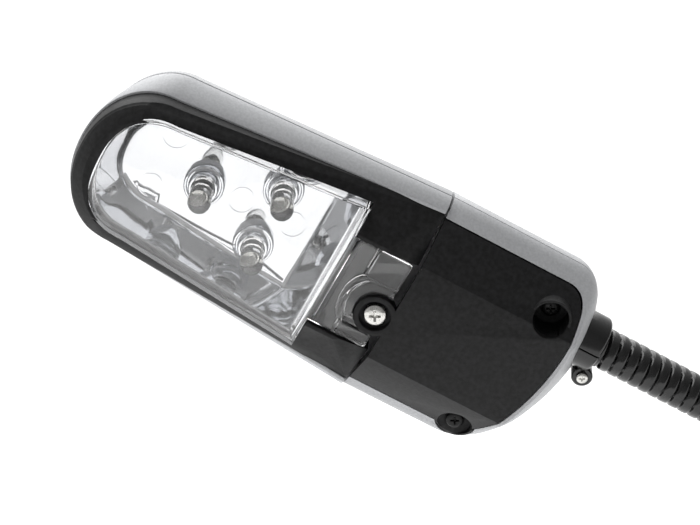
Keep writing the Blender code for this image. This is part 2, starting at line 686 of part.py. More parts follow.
def make_neck(start, along, finish):
    """Seven lengths of ribbed gooseneck that turn on each other at cone-shaped ends."""
    at, total = neck_path(start, along)
    piece_length = total / NECK_PIECES
    for number in range(1, NECK_PIECES + 1):
        low, high = total - piece_length * number, total - piece_length * (number - 1)
        cone = NECK_RADIUS * tan(JOINT_CONE)
        places = []
        if number < NECK_PIECES:
            places += [(low + GAP / 2, 0.4 * MM), (low + GAP / 2 + cone, NECK_RADIUS)]
        else:
            places += [(low, NECK_RADIUS)]
        steps = 6
        first, last = places[-1][0], high - (0 if number == 1 else GAP / 2 + cone)
        places += [(first + (last - first) * i / steps, NECK_RADIUS) for i in range(1, steps + 1)]
        if number > 1:
            places.append((high - GAP / 2, 0.4 * MM))
        pivot = at(high)[0]
        loops = []
        for s, radius in places:
            point, way = at(s)
            loops.append(disc_loop(point - pivot, way, radius, NECK_SIDES))
        made = loft(f"neck_{number}", loops, finish)
        made.location = pivot


def make_clip(finishes):
    silver, black, steel, rubber, cell, brass = finishes
    x0 = CLIP_FRONT
    x1 = CLIP_FRONT + BOX_LENGTH
    z0 = PAD_THICK + GAP
    z1 = z0 + BOX_HEIGHT
    low, high = (x0, -BOX_WIDTH / 2, z0), (x1, BOX_WIDTH / 2, z1)
    body = block("clip_body", low, high, silver, bevel=BOX_CORNER * 0.6)
    join(body, turned("socket", (CLIP_MIDDLE, 0, z1 - MM), (0, 0, 1), socket_profile(), None))
    floor = z1 + SOCKET_HEIGHT - MM - SOCKET_DEPTH
    bore = NECK_RADIUS + GAP
    cut(body, turned("bore", (CLIP_MIDDLE, 0, floor), (0, 0, 1), [(0, bore), (20 * MM, bore)], None))
    bay = CELL_PITCH * 1.5 + 0.6 * MM
    low = (x0 + 2 * MM, -bay, z0 + BAY_FLOOR)
    high = (x1 + MM, bay, z0 + BAY_FLOOR + 2 * CELL_RADIUS + BAY_HEADROOM)
    cut(body, block("bay", low, high, None))
    for side in (-1, 1):
        y = side * (BOX_WIDTH / 2 - 3 * MM)
        low = (PIN_X - LUG_HALF, min(y, y - side * LUG_THICK), PIN_Z - LUG_HALF)
        high = (PIN_X + LUG_HALF, max(y, y - side * LUG_THICK), z0 + MM)
        join(body, block("lug", low, high, None))
    hole = PIN_RADIUS + GAP / 2
    start = (PIN_X, -BOX_WIDTH / 2, PIN_Z)
    cut(body, turned("hole", start, (0, 1, 0), [(0, hole), (BOX_WIDTH, hole)], None, sides=16))

    bay_low, bay_high = z0 + BAY_FLOOR, z0 + BAY_FLOOR + 2 * CELL_RADIUS + BAY_HEADROOM
    low = (x1 + GAP, -BOX_WIDTH / 2 + 1.5 * MM, z0 + 0.6 * MM)
    high = (x1 + GAP + DOOR_THICK, BOX_WIDTH / 2 - 1.5 * MM, z1 - 0.6 * MM)
    door = block("battery_door", low, high, black, bevel=0.7 * MM)
    low = (x1 - 4 * MM, -bay + GAP, bay_high - GAP - 1.2 * MM)
    join(door, block("tongue", low, (x1 + GAP + MM, bay - GAP, bay_high - GAP), None))
    middle = bay_low + 0.3 * MM + CELL_RADIUS
    for number in range(1, 4):
        y = (number - 2) * CELL_PITCH
        start = (x0 + BAY_INSET, y, middle)
        profile = [(0, CELL_RADIUS * 0.92), (0.5 * MM, CELL_RADIUS), (CELL_LENGTH - 1.4 * MM, CELL_RADIUS)]
        profile += [(CELL_LENGTH - 0.9 * MM, CELL_RADIUS * 0.9), (CELL_LENGTH - 0.9 * MM, 1.9 * MM)]
        profile += [(CELL_LENGTH, 1.8 * MM)]
        turned(f"battery_{number}", start, (1, 0, 0), profile, cell, sides=20)
    tall = 2 * CELL_RADIUS - MM
    front_x, rear_x = x0 + 2.1 * MM, x0 + BAY_INSET + CELL_LENGTH + 0.3 * MM
    for name, x in (("contact_front", front_x), ("contact_rear", rear_x)):
        low = (x, -bay + 0.4 * MM, bay_low + 0.5 * MM)
        block(name, low, (x + 0.5 * MM, bay - 0.4 * MM, bay_low + tall), brass)

    pad = (x0 + PAD_INSET, -PAD_WIDTH / 2, 0)
    high = (x0 + PAD_INSET + PAD_LENGTH, PAD_WIDTH / 2, PAD_THICK)
    block("upper_pad", pad, high, rubber, bevel=0.4 * MM)
    top = -PAD_MEET
    pad = (x0 + PAD_INSET, -PAD_WIDTH / 2, top - PAD_THICK)
    high = (x0 + PAD_INSET + PAD_LENGTH, PAD_WIDTH / 2, top)
    block("lower_pad", pad, high, rubber, bevel=0.4 * MM)

    pivot = Vector((PIN_X, 0, PIN_Z))
    jaw_top = top - PAD_THICK - GAP
    handle = Vector((cos(HANDLE_SLOPE), 0, -sin(HANDLE_SLOPE))) * HANDLE_LENGTH
    low_z = PIN_Z - SPRING_RADIUS - SPRING_WIRE - GAP - JAW_THICK
    rise = 3.5 * MM
    spine = [
        (x0, jaw_top),
        (x0 + PAD_LENGTH + 2 * PAD_INSET, jaw_top),
        (x0 + PAD_LENGTH + 2 * PAD_INSET + rise, low_z + JAW_THICK),
        (PIN_X + 2 * MM, low_z + JAW_THICK),
        (PIN_X + 2 * MM + handle.x, low_z + JAW_THICK + handle.z),
    ]
    outline = spine + [(x, z - JAW_THICK) for x, z in reversed(spine)]
    half = JAW_WIDTH / 2
    loops = [[(x - pivot.x, y, z - pivot.z) for x, z in outline] for y in (-half, half)]
    jaw = loft("lower_jaw", loops, silver)
    jaw.location = pivot
    ear = BOX_WIDTH / 2 - 3 * MM - LUG_THICK - GAP
    for side in (-1, 1):
        y = side * ear
        low = (-2.6 * MM, min(y, y - side * 2 * MM), low_z + MM - pivot.z)
        high = (2.6 * MM, max(y, y - side * 2 * MM), 2.6 * MM)
        lug = block("ear", low, high, None)
        lug.location = pivot
        join(jaw, lug)
    for side in (-1, 1):
        low = (-LUG_HALF - 2.2 * MM, min(side * ear, side * 30 * MM), -20 * MM)
        high = (LUG_HALF + 2.2 * MM, max(side * ear, side * 30 * MM), 20 * MM)
        notch = block("notch", low, high, None)
        notch.location = pivot
        cut(jaw, notch)
    start = (0, -BOX_WIDTH / 2, 0)
    bore = turned("bore", start, (0, 1, 0), [(0, hole), (BOX_WIDTH, hole)], None, sides=16)
    bore.location = pivot
    cut(jaw, bore)
    reach = BOX_WIDTH / 2 - 2.4 * MM
    start = (PIN_X, -reach, PIN_Z)
    turned("jaw_pin", start, (0, 1, 0), [(0, PIN_RADIUS), (2 * reach, PIN_RADIUS)], steel, sides=16)
    points = []
    steps = 12 * SPRING_TURNS
    for i in range(steps + 1):
        angle = 2 * pi * i / 12 + pi / 2
        y = -3.6 * MM + 7.2 * MM * i / steps
        points.append((PIN_X + SPRING_RADIUS * cos(angle), y, PIN_Z + SPRING_RADIUS * sin(angle)))
    tail = Vector(points[0]) + Vector((-9 * MM, 0, 0.5 * MM))
    other = Vector(points[-1]) + Vector((9 * MM, 0, 1.2 * MM))
    tube("torsion_spring", [tail] + points + [other], SPRING_WIRE, steel)


def socket_profile():
    tall = SOCKET_HEIGHT
    foot = [(0, SOCKET_RADIUS + 2 * MM), (2.5 * MM, SOCKET_RADIUS)]
    return foot + [(tall - MM, SOCKET_RADIUS - 1.2 * MM), (tall, SOCKET_RADIUS - 2 * MM)]


def head_axes():
    """The head's own axes in the lamp's rest pose: along, across and out of its face."""
    along = Vector((0.881, 0.130, -0.454)).normalized()
    out = Vector((-0.080, -0.906, -0.415))
    across = out.cross(along).normalized()
    return along, across, along.cross(across)


def main():
    for old in list(bpy.data.objects):
        bpy.data.objects.remove(old)
    silver = material("silver_painted_abs", (0.60, 0.60, 0.60), 0.35, 0.3)
    black = material("black_abs", (0.012, 0.012, 0.013), 0.42)
    clear = material("clear_polycarbonate", (0.9, 0.9, 0.9), 0.05, 0.0, 0.25)
    chrome = material("chromed_reflector", (0.8, 0.8, 0.8), 0.08, 1.0)
    epoxy = material("clear_epoxy", (0.85, 0.85, 0.85), 0.1, 0.0, 0.6)
    steel = material("zinc_plated_steel", (0.6, 0.6, 0.58), 0.3, 1.0)
    board = material("green_circuit_board", (0.02, 0.16, 0.06), 0.5)
    brass = material("nickel_plated_brass", (0.6, 0.55, 0.4), 0.35, 1.0)
    grey = material("grey_button_abs", (0.12, 0.12, 0.12), 0.5)
    rubber = material("black_rubber", (0.01, 0.01, 0.01), 0.8)
    cell = material("battery_sleeve", (0.05, 0.05, 0.3), 0.4)
    ribbed = material("black_gooseneck", (0.006, 0.006, 0.006), 0.25)

    along, across, out = head_axes()
    neck_top = along * NECK_START_X + across * NECK_Y - out * NECK_DEPTH
    start = Vector((0, 0, 0))
    at, total = neck_path(start, along)
    socket_floor = PAD_THICK + GAP + BOX_HEIGHT + SOCKET_HEIGHT - MM - SOCKET_DEPTH
    foot = Vector((CLIP_MIDDLE, 0, socket_floor + GAP))
    start = foot - at(total)[0]

    head = bpy.data.objects.new("head_frame", None)
    bpy.context.scene.collection.objects.link(head)
    turn = Matrix((along, across, out)).transposed().to_4x4()
    head.matrix_world = Matrix.Translation(start - neck_top) @ turn

    make_front(head, (silver, black, clear, chrome, epoxy, steel, board))
    make_rear(head, (silver, black, steel, board, grey, brass))
    make_neck(start, along, ribbed)
    make_clip((silver, black, steel, rubber, cell, brass))
    for made in bpy.data.objects:
        if made.type == "MESH":
            made.data.shade_smooth()
            made.data.set_sharp_from_angle(angle=radians(32))


main()
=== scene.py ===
"""Looks of the clip-on reading lamp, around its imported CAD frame."""

import json
from math import atan2, copysign, cos, hypot, pi, radians, sin, sqrt

import bmesh
import bpy
from mathutils import Matrix, Vector

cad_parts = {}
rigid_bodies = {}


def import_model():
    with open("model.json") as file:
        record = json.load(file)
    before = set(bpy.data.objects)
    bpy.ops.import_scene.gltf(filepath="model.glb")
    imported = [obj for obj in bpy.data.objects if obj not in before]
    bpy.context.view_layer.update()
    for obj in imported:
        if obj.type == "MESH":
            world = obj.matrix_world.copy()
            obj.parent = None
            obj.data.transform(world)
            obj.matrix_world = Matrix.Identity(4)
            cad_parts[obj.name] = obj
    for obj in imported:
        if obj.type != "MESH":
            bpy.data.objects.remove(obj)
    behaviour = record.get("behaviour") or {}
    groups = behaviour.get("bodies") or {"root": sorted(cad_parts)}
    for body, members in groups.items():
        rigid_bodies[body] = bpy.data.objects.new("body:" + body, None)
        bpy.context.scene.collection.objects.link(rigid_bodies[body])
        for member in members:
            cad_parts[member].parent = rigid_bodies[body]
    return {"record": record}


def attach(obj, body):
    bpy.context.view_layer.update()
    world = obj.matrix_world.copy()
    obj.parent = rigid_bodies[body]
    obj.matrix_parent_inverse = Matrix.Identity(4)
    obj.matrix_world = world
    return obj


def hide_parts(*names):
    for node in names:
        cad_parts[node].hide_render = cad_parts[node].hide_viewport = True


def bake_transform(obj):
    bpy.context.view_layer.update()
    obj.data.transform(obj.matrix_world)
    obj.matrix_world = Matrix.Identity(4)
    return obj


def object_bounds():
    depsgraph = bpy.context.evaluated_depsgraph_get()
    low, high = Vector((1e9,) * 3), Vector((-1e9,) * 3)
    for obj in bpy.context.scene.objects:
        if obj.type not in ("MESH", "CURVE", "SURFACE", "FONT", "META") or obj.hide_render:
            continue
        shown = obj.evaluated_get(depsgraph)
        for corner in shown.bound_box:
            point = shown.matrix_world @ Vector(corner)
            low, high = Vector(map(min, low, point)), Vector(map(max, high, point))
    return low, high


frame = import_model()
cad_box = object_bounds()

MM = 0.001
GAP = 0.3 * MM  # seam between neighbouring mouldings
WALL = 1.6 * MM

# Head: along runs from the tip to the neck, out leaves the lens face
ALONG = Vector((0.881, 0.130, -0.454)).normalized()
OUT = Vector((-0.080, -0.906, -0.415))
ACROSS = OUT.cross(ALONG).normalized()
OUT = ALONG.cross(ACROSS)
SPLIT_GAP = 0.6 * MM
TIP_X, TIP_LENGTH, TIP_FULLNESS = -72.7 * MM, 14.0 * MM, 2.1
TIP_STEPS = 60
TAPER, BEZEL_HALF, BLACK_HALF, BLACK_DEPTH = 0.092, 21.9 * MM, 21.1 * MM, 6.4 * MM
RIM_DROP, RIM_BAND, RIM_WIDTH, BEZEL_SLOPE = 1.9 * MM, 2.4 * MM, 0.8 * MM, 0.75 * MM
WINDOW_TIP_X, WINDOW_END_X = -69.0 * MM, -14.6 * MM
WINDOW_HALF, WINDOW_TAPER, WINDOW_FULLNESS, WINDOW_TIP_LENGTH = 19.5 * MM, 0.095, 2.5, 12.0 * MM
BEZEL_LIP = 0.6 * MM  # the bezel laps this far over the lens edge
FACET_TIP_X, FACET_TURN_X, PANEL_HALF = -15.5 * MM, -8.0 * MM, 12.0 * MM
SIDE_HALF, SIDE_TAPER, SIDE_TIP_BACK = 25.0 * MM, 0.070, 0.8 * MM
PARTING_REAR, PARTING_TIP, HEAD_DEPTH = 10.0 * MM, 12.4 * MM, 20.0 * MM
COVER_REAR = (35.5 * MM, 8.0 * MM, 55.0 * MM)  # furthest x, its y, radius
SIDE_REAR = (41.0 * MM, 4.0 * MM, 38.0 * MM)
REAR_CORNER, CORNER_STEPS, REAR_STEPS = 4.5 * MM, 12, 28
WELLS = ((29.4 * MM, 14.2 * MM), (25.1 * MM, -19.4 * MM))
WELL_RADIUS, WELL_DEPTH, CUP_WALL, CUP_FLOOR = 3.8 * MM, 9.0 * MM, 0.5 * MM, 1.2 * MM
SCREW_HOLE = 1.3 * MM
BOSS = (-2.9 * MM, -2.9 * MM)
BOSS_RADIUS, BOSS_WELL_RADIUS, BOSS_WELL_DEPTH = 4.5 * MM, 3.4 * MM, 1.5 * MM
LENS_DROP, LENS_THICK, LENS_SKIRT = 0.3 * MM, 1.5 * MM, 4.6 * MM
EAR_HALF, EAR_END_X = 10.9 * MM, -1.3 * MM
TRAY_FLOOR, TRAY_DRAFT, TRAY_WALL = 15.0 * MM, 2.6 * MM, 1.0 * MM
LEDS = ((-45.9 * MM, 0.0), (-30.0 * MM, 7.0 * MM), (-30.0 * MM, -7.0 * MM))
# Rings left by the tray's ejector pins: x, y and radius in mm
EJECTORS = ((-56.4, 6.6, 2.9), (-56.4, -6.4, 2.9), (-36.8, 0.4, 2.8), (-24.1, 0.5, 2.8))
SWITCH_X, BUTTON_RADIUS = 12.0 * MM, 3.6 * MM
NECK_RADIUS, NECK_Y, NECK_DEPTH, NECK_START_X = 4.5 * MM, 10.3 * MM, 10.2 * MM, 37.0 * MM
NECK_STRAIGHT, NECK_BEND, NECK_DROP = 36.0 * MM, 58.0 * MM, 46.0 * MM
RIB_PITCH, RIB_GROOVE, RIB_CROWN = 2.5 * MM, 0.8 * MM, 0.3 * MM
COLLAR_RADIUS, COLLAR_END_X, COLLAR_INSIDE = 6.3 * MM, 43.6 * MM, 2.0 * MM
COLLAR_ROUND, LUG_RADIUS = 1.0 * MM, 2.3 * MM


def reach(name, way, side):
    """How far a CAD node reaches along a direction: its lowest (-1) or highest (1) place."""
    return side * max(side * v.co.dot(way) for v in bpy.data.objects[name].data.vertices)


def head_origin():
    """The head frame's origin: on the split, midway across and on the flat black face."""
    along = reach("rear_side_frame", ALONG, -1) - SPLIT_GAP / 2
    low, high = reach("rear_side_frame", ACROSS, -1), reach("rear_side_frame", ACROSS, 1)
    return ALONG * along + ACROSS * (low + high) / 2 + OUT * reach("rear_cover", OUT, 1)


HEAD = Matrix.Translation(head_origin()) @ Matrix((ALONG, ACROSS, OUT)).transposed().to_4x4()


# ---------------------------------------------------------------- materials
def linear(hex_colour):
    """sRGB hex to linear RGBA."""
    parts = [int(hex_colour[i : i + 2], 16) / 255 for i in (1, 3, 5)]
    return tuple(c / 12.92 if c <= 0.04045 else ((c + 0.055) / 1.055) ** 2.4 for c in parts) + (1.0,)


def add(tree, kind, inputs=None, **settings):
    """Adds a node with its settings; an input is a value, or a socket to link from."""
    made = tree.nodes.new(kind)
    for name, value in settings.items():
        setattr(made, name, value)
    for name, value in (inputs or {}).items():
        if isinstance(value, bpy.types.NodeSocket):
            tree.links.new(value, made.inputs[name])
        else:
            made.inputs[name].default_value = value
    return made


def finish(name, hex_colour, roughness, **sockets):
    """A Principled material; returns it with its tree, shader and object coordinates."""
    made = bpy.data.materials.new(name)
    made.use_nodes = True
    tree = made.node_tree
    shader = tree.nodes["Principled BSDF"]
    shader.inputs["Base Color"].default_value = linear(hex_colour)
    shader.inputs["Roughness"].default_value = roughness
    for socket, value in sockets.items():
        shader.inputs[socket.replace("_", " ")].default_value = value
    place = add(tree, "ShaderNodeTexCoord").outputs["Object"]
    return made, tree, shader, place


def grain(tree, shader, place, size, strength, depth, detail=3.0):
    """A fine moulded or sprayed texture: bump from noise with grains of a real size."""
    noise = add(tree, "ShaderNodeTexNoise", {"Vector": place, "Scale": 0.5 / size, "Detail": detail})
    inputs = {"Height": noise.outputs["Fac"], "Strength": strength, "Distance": depth}
    bump = add(tree, "ShaderNodeBump", inputs)
    tree.links.new(bump.outputs["Normal"], shader.inputs["Normal"])


def vary(tree, shader, place, socket, size, low, high, detail=2.0):
    """Lets a value or colour wander between two limits over patches of a real size."""
    noise = add(tree, "ShaderNodeTexNoise", {"Vector": place, "Scale": 0.5 / size, "Detail": detail})
    ramp = add(tree, "ShaderNodeValToRGB", {"Fac": noise.outputs["Fac"]})
    ramp.color_ramp.elements[0].position = 0.35
    ramp.color_ramp.elements[1].position = 0.65
    for element, value in zip(ramp.color_ramp.elements, (low, high)):
        element.color = linear(value) if isinstance(value, str) else (value, value, value, 1)
    tree.links.new(ramp.outputs["Color"], shader.inputs[socket])


def silver_paint():
    """Aluminium-flake paint on ABS: satin, a little metallic, with a faint orange peel."""
    sheen = {"Metallic": 0.1, "Specular_IOR_Level": 0.35}
    made, tree, shader, place = finish("silver_painted_abs", "#a8a9ab", 0.5, **sheen)
    vary(tree, shader, place, "Base Color", 0.25 * MM, "#a3a4a6", "#aeafb1")
    grain(tree, shader, place, 0.35 * MM, 0.10, 0.02 * MM)
    return made


def black_abs():
    """Black ABS moulded against a spark-eroded tool: a fine matte grain that catches soft light."""
    name, dull = "spark_grained_black_abs", {"Specular_IOR_Level": 0.22}
    made, tree, shader, place = finish(name, "#131313", 0.52, **dull)
    vary(tree, shader, place, "Base Color", 0.5 * MM, "#0d0d0d", "#1b1b1c", 5.0)
    grain(tree, shader, place, 0.2 * MM, 0.5, 0.05 * MM)
    return made


def glossy_black_abs():
    """Black ABS from a polished tool, for the neck clamp."""
    made, tree, shader, place = finish("polished_black_abs", "#101010", 0.22)
    grain(tree, shader, place, 1.2 * MM, 0.08, 0.03 * MM)
    return made


def clear_polycarbonate():
    """Clear moulded polycarbonate: glassy, high index, with a very slight flow waviness."""
    made, tree, shader, place = finish("clear_polycarbonate", "#ffffff", 0.015, IOR=1.58)
    shader.inputs["Transmission Weight"].default_value = 1.0
    grain(tree, shader, place, 6 * MM, 0.05, 0.05 * MM, 1.0)
    return made


def clear_epoxy():
    """Water-clear cast epoxy of a round LED."""
    made, tree, shader, place = finish("cast_clear_epoxy", "#fbfbfa", 0.03, IOR=1.53)
    shader.inputs["Transmission Weight"].default_value = 0.92
    grain(tree, shader, place, 2 * MM, 0.04, 0.02 * MM, 1.0)
    return made


def vacuum_chrome():
    """Vacuum-metallised plastic: a true mirror with the slight waviness of the moulding under it."""
    made, tree, shader, place = finish("vacuum_chromed_abs", "#dcdddf", 0.05, Metallic=1.0)
    grain(tree, shader, place, 9 * MM, 0.04, 0.05 * MM, 1.0)
    return made


def plated_steel():
    """Nickel-plated steel screws and pin: bright, with fine turning marks."""
    made, tree, shader, place = finish("nickel_plated_steel", "#c9c8c4", 0.22, Metallic=1.0)
    vary(tree, shader, place, "Roughness", 0.4 * MM, 0.16, 0.34)
    grain(tree, shader, place, 0.12 * MM, 0.12, 0.01 * MM)
    return made


def blackened_steel():
    """Black-oxide steel of the cover screws: dark, with patchy roughness."""
    made, tree, shader, place = finish("black_oxide_steel", "#232323", 0.38, Metallic=0.8)
    vary(tree, shader, place, "Roughness", 0.3 * MM, 0.3, 0.5)
    grain(tree, shader, place, 0.1 * MM, 0.15, 0.01 * MM)
    return made


def gooseneck_vinyl():
    """Soft black PVC shrunk over a steel spring: glossy, with patchy roughness."""
    made, tree, shader, place = finish("glossy_black_pvc", "#0b0b0b", 0.2)
    vary(tree, shader, place, "Roughness", 1.5 * MM, 0.14, 0.3)
    grain(tree, shader, place, 0.5 * MM, 0.10, 0.03 * MM)
    return made


def moulded_rubber():
    """Black moulded rubber: dull, with a dry bloom."""
    made, tree, shader, place = finish("moulded_black_rubber", "#1a1a1a", 0.8)
    vary(tree, shader, place, "Base Color", 1.2 * MM, "#151515", "#242423")
    grain(tree, shader, place, 0.2 * MM, 0.4, 0.04 * MM)
    return made


def circuit_board():
    """Green solder mask over glass-epoxy, with the weave just showing."""
    made, tree, shader, place = finish("green_solder_mask", "#17492b", 0.35)
    vary(tree, shader, place, "Base Color", 0.6 * MM, "#133f25", "#1d5533")
    grain(tree, shader, place, 0.3 * MM, 0.15, 0.02 * MM)
    return made


def nickel_brass():
    """Nickel-plated brass contacts and resistor caps, slightly tarnished."""
    made, tree, shader, place = finish("nickel_plated_brass", "#c2b48d", 0.3, Metallic=1.0)
    vary(tree, shader, place, "Roughness", 1.0 * MM, 0.22, 0.42)
    return made


def button_abs():
    """Dark grey moulded ABS with a fine grain, for the push button."""
    made, tree, shader, place = finish("grained_grey_abs", "#4a4b4d", 0.5)
    grain(tree, shader, place, 0.2 * MM, 0.3, 0.03 * MM)
    return made


def battery_sleeve():
    """Shrink-wrapped film over the cell's can: plain bands, no lettering."""
    made, tree, shader, place = finish("cell_shrink_film", "#27406f", 0.28)
    vary(tree, shader, place, "Base Color", 14 * MM, "#22385f", "#2d4a80")
    return made


SILVER = silver_paint()
BLACK = black_abs()
GLOSS = glossy_black_abs()
CLEAR = clear_polycarbonate()
EPOXY = clear_epoxy()
CHROME = vacuum_chrome()
STEEL = plated_steel()
DARK_STEEL = blackened_steel()
VINYL = gooseneck_vinyl()
RUBBER = moulded_rubber()
BOARD = circuit_board()
BRASS = nickel_brass()
BUTTON = button_abs()
FILM = battery_sleeve()


# ---------------------------------------------------------------- modelling helpers
def deselect():
    """Clears the selection."""
    for other in bpy.context.selected_objects:
        other.select_set(False)


def activate(piece):
    """Makes a piece the only selected and the active one."""
    deselect()
    piece.select_set(True)
    bpy.context.view_layer.objects.active = piece


def tidy_mesh(piece, recalculate=True):
    """Merges doubles and turns the faces outwards."""
    bm = bmesh.new()
    bm.from_mesh(piece.data)
    bmesh.ops.remove_doubles(bm, verts=bm.verts, dist=1e-6)
    bmesh.ops.dissolve_degenerate(bm, edges=bm.edges, dist=1e-6)
    if recalculate:
        bmesh.ops.recalc_face_normals(bm, faces=bm.faces)
        if bm.calc_volume(signed=True) < 0:
            bmesh.ops.reverse_faces(bm, faces=bm.faces)
    bm.to_mesh(piece.data)
    bm.free()


def loft(name, loops, ring=False):
    """A closed skin over loops of as many points each."""
    count = len(loops[0])
    verts = [tuple(point) for loop in loops for point in loop]
    faces = []
    for k in range(len(loops) if ring else len(loops) - 1):
        low, high = k * count, (k + 1) % len(loops) * count
        for i in range(count):
            j = (i + 1) % count
            faces.append((low + i, low + j, high + j, high + i))
    if not ring:
        faces.append(tuple(range(count))[::-1])
        faces.append(tuple(range(len(verts) - count, len(verts))))
    mesh = bpy.data.meshes.new(name)
    mesh.from_pydata(verts, [], faces)
    made = bpy.data.objects.new(name, mesh)
    bpy.context.scene.collection.objects.link(made)
    tidy_mesh(made)
    return made


def turned(name, place, axis, profile, steps=48):
    """Spins a profile of (distance along the axis, radius) pairs, open or closed on the axis."""
    axis = Vector(axis).normalized()
    turn = axis.to_track_quat("Z", "Y").to_matrix().to_4x4()
    mesh = bpy.data.meshes.new(name)
    verts = [(radius, 0, at) for at, radius in profile]
    mesh.from_pydata(verts, [(i, i + 1) for i in range(len(profile) - 1)], [])
    made = bpy.data.objects.new(name, mesh)
    bpy.context.scene.collection.objects.link(made)
    activate(made)
    bpy.ops.object.mode_set(mode="EDIT")
    bpy.ops.mesh.select_all(action="SELECT")
    bpy.ops.mesh.spin(steps=steps, angle=2 * pi, center=(0, 0, 0), axis=(0, 0, 1))
    bpy.ops.mesh.select_all(action="SELECT")
    bpy.ops.mesh.remove_doubles(threshold=1e-6)
    bpy.ops.mesh.normals_make_consistent(inside=False)
    bpy.ops.object.mode_set(mode="OBJECT")
    mesh.transform(Matrix.Translation(Vector(place)) @ turn)
    tidy_mesh(made)
    return made


def solid(name, place, axis, profile, steps=48):
    """A turned solid: the profile is closed on the axis at both ends."""
    return turned(name, place, axis, [(profile[0][0], 0)] + profile + [(profile[-1][0], 0)], steps)


def box(name, low, high, bevel=0.0, segments=3):
    """A block between two corners, with rounded edges."""
    middle = [(a + b) / 2 for a, b in zip(low, high)]
    deselect()
    bpy.ops.mesh.primitive_cube_add(size=1, location=middle)
    made = bpy.context.object
    made.name = made.data.name = name
    made.scale = [b - a for a, b in zip(low, high)]
    bpy.ops.object.transform_apply(location=True, rotation=True, scale=True)
    if bevel:
        bpy.ops.object.mode_set(mode="EDIT")
        bpy.ops.mesh.select_all(action="SELECT")
        bpy.ops.mesh.bevel(offset=bevel, segments=segments, affect="EDGES")
        bpy.ops.object.mode_set(mode="OBJECT")
    return made


def combine(piece, other, operation):
    """Joins, cuts or intersects with another piece, which is used up."""
    activate(piece)
    change = piece.modifiers.new("shape", "BOOLEAN")
    change.operation = operation
    change.solver = "EXACT"
    change.object = other
    bpy.ops.object.modifier_apply(modifier=change.name)
    old = other.data
    bpy.data.objects.remove(other)
    bpy.data.meshes.remove(old)
    tidy_mesh(piece, recalculate=False)
    return piece


def cut(piece, other):
    """Takes another piece away from this one."""
    return combine(piece, other, "DIFFERENCE")


def join(piece, other):
    """Makes one solid of two."""
    return combine(piece, other, "UNION")


def slice_off(piece, point, normal):
    """Removes what lies past a plane and closes the cut."""
    activate(piece)
    bpy.ops.object.mode_set(mode="EDIT")
    bpy.ops.mesh.select_all(action="SELECT")
    bpy.ops.mesh.bisect(plane_co=point, plane_no=normal, use_fill=True, clear_outer=True)
    bpy.ops.object.mode_set(mode="OBJECT")
    tidy_mesh(piece)


def soften(piece, width, segments=2, angle=35):
    """Rounds the moulding's edges that are sharper than an angle."""
    activate(piece)
    edge = piece.modifiers.new("edges", "BEVEL")
    edge.width = width
    edge.segments = segments
    edge.limit_method = "ANGLE"
    edge.angle_limit = radians(angle)
    edge.harden_normals = False
    edge.use_clamp_overlap = True
    bpy.ops.object.modifier_apply(modifier=edge.name)
    return piece


def hand_over(piece, material, body, slot, *nodes, place=None, smooth=38):
    """Gives a finished piece its material, shading, body and the CAD nodes it stands for; its slot is not
    used.
    """
    if place is not None:
        piece.data.transform(place)
    piece.data.materials.clear()
    piece.data.materials.append(material)
    activate(piece)
    bpy.ops.object.shade_smooth_by_angle(angle=radians(smooth))
    if body:
        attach(piece, body)
    if nodes:
        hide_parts(*nodes)
    return piece


# ---------------------------------------------------------------- the head's outlines
def face_height(y):
    """Height of the rear cover's face: flat in the middle, sloping down to the side frame."""
    slope = BLACK_DEPTH / (BLACK_HALF - PANEL_HALF)
    return -max(0.0, abs(y) - PANEL_HALF) * slope


def parting(x):
    """Height of the line where side frame and top cap meet; it drops towards the tip."""
    share = min(1.0, max(0.0, x / TIP_X))
    return -(PARTING_REAR + (PARTING_TIP - PARTING_REAR) * share)


def front_loop(half, tip, end, depth, taper=TAPER, length=TIP_LENGTH, fullness=TIP_FULLNESS):
    """Outline of the front module at one level; depth is a height or a function of x and y."""
    centre = tip + length
    side = half + taper * centre
    flat = [(end, half + taper * end)]
    for i in range(TIP_STEPS + 1):
        angle = pi / 2 + pi * i / TIP_STEPS
        c, s = (copysign(abs(f) ** (2 / fullness), f) for f in (cos(angle), sin(angle)))
        flat.append((centre + length * c, side * s))
    flat.append((end, -half - taper * end))
    return [(x, y, depth(x, y) if callable(depth) else depth) for x, y in flat]


def rear_loop(half, reach_x, apex, radius, start, depth):
    """Outline of the rear module at one level: straight sides and a bowed, slanting end."""

    def end(y):
        return reach_x - radius + sqrt(radius * radius - (y - apex) ** 2)

    def corner(side):
        tip = Vector((end(side * half), side * half))
        inner = side * (half - REAR_CORNER)
        first, last = Vector((tip.x - REAR_CORNER, tip.y)), Vector((end(inner), inner))
        steps = [i / (CORNER_STEPS - 1) for i in range(CORNER_STEPS)]
        return [first * (1 - t) ** 2 + tip * 2 * t * (1 - t) + last * t * t for t in steps]

    flat = [Vector((start, -half))]
    edges = [start + (corner(-1)[0].x - start) * share for share in (0.33, 0.66)]
    flat += [Vector((x, -half)) for x in edges] + corner(-1)
    for i in range(1, REAR_STEPS):
        y = (half - REAR_CORNER) * (2 * i / REAR_STEPS - 1)
        flat.append(Vector((end(y), y)))
    flat += corner(1)[::-1] + [Vector((x, half)) for x in reversed(edges)] + [Vector((start, half))]
    return [(p.x, p.y, depth(p.x, p.y) if callable(depth) else depth) for p in flat]


def black_rear(grow, depth):
    """Edge of the rear module's black cover, grown by a margin."""
    x, y, radius = COVER_REAR
    return rear_loop(BLACK_HALF + grow, x + grow, y, radius, SPLIT_GAP / 2, depth)


def side_rear(shrink, depth, wall=0.0):
    """Outside of the rear module's silver shells, shrunk by a margin and set back from the split."""
    x, y, radius = SIDE_REAR
    return rear_loop(SIDE_HALF - shrink, x - shrink, y, radius, SPLIT_GAP / 2 + wall, depth)


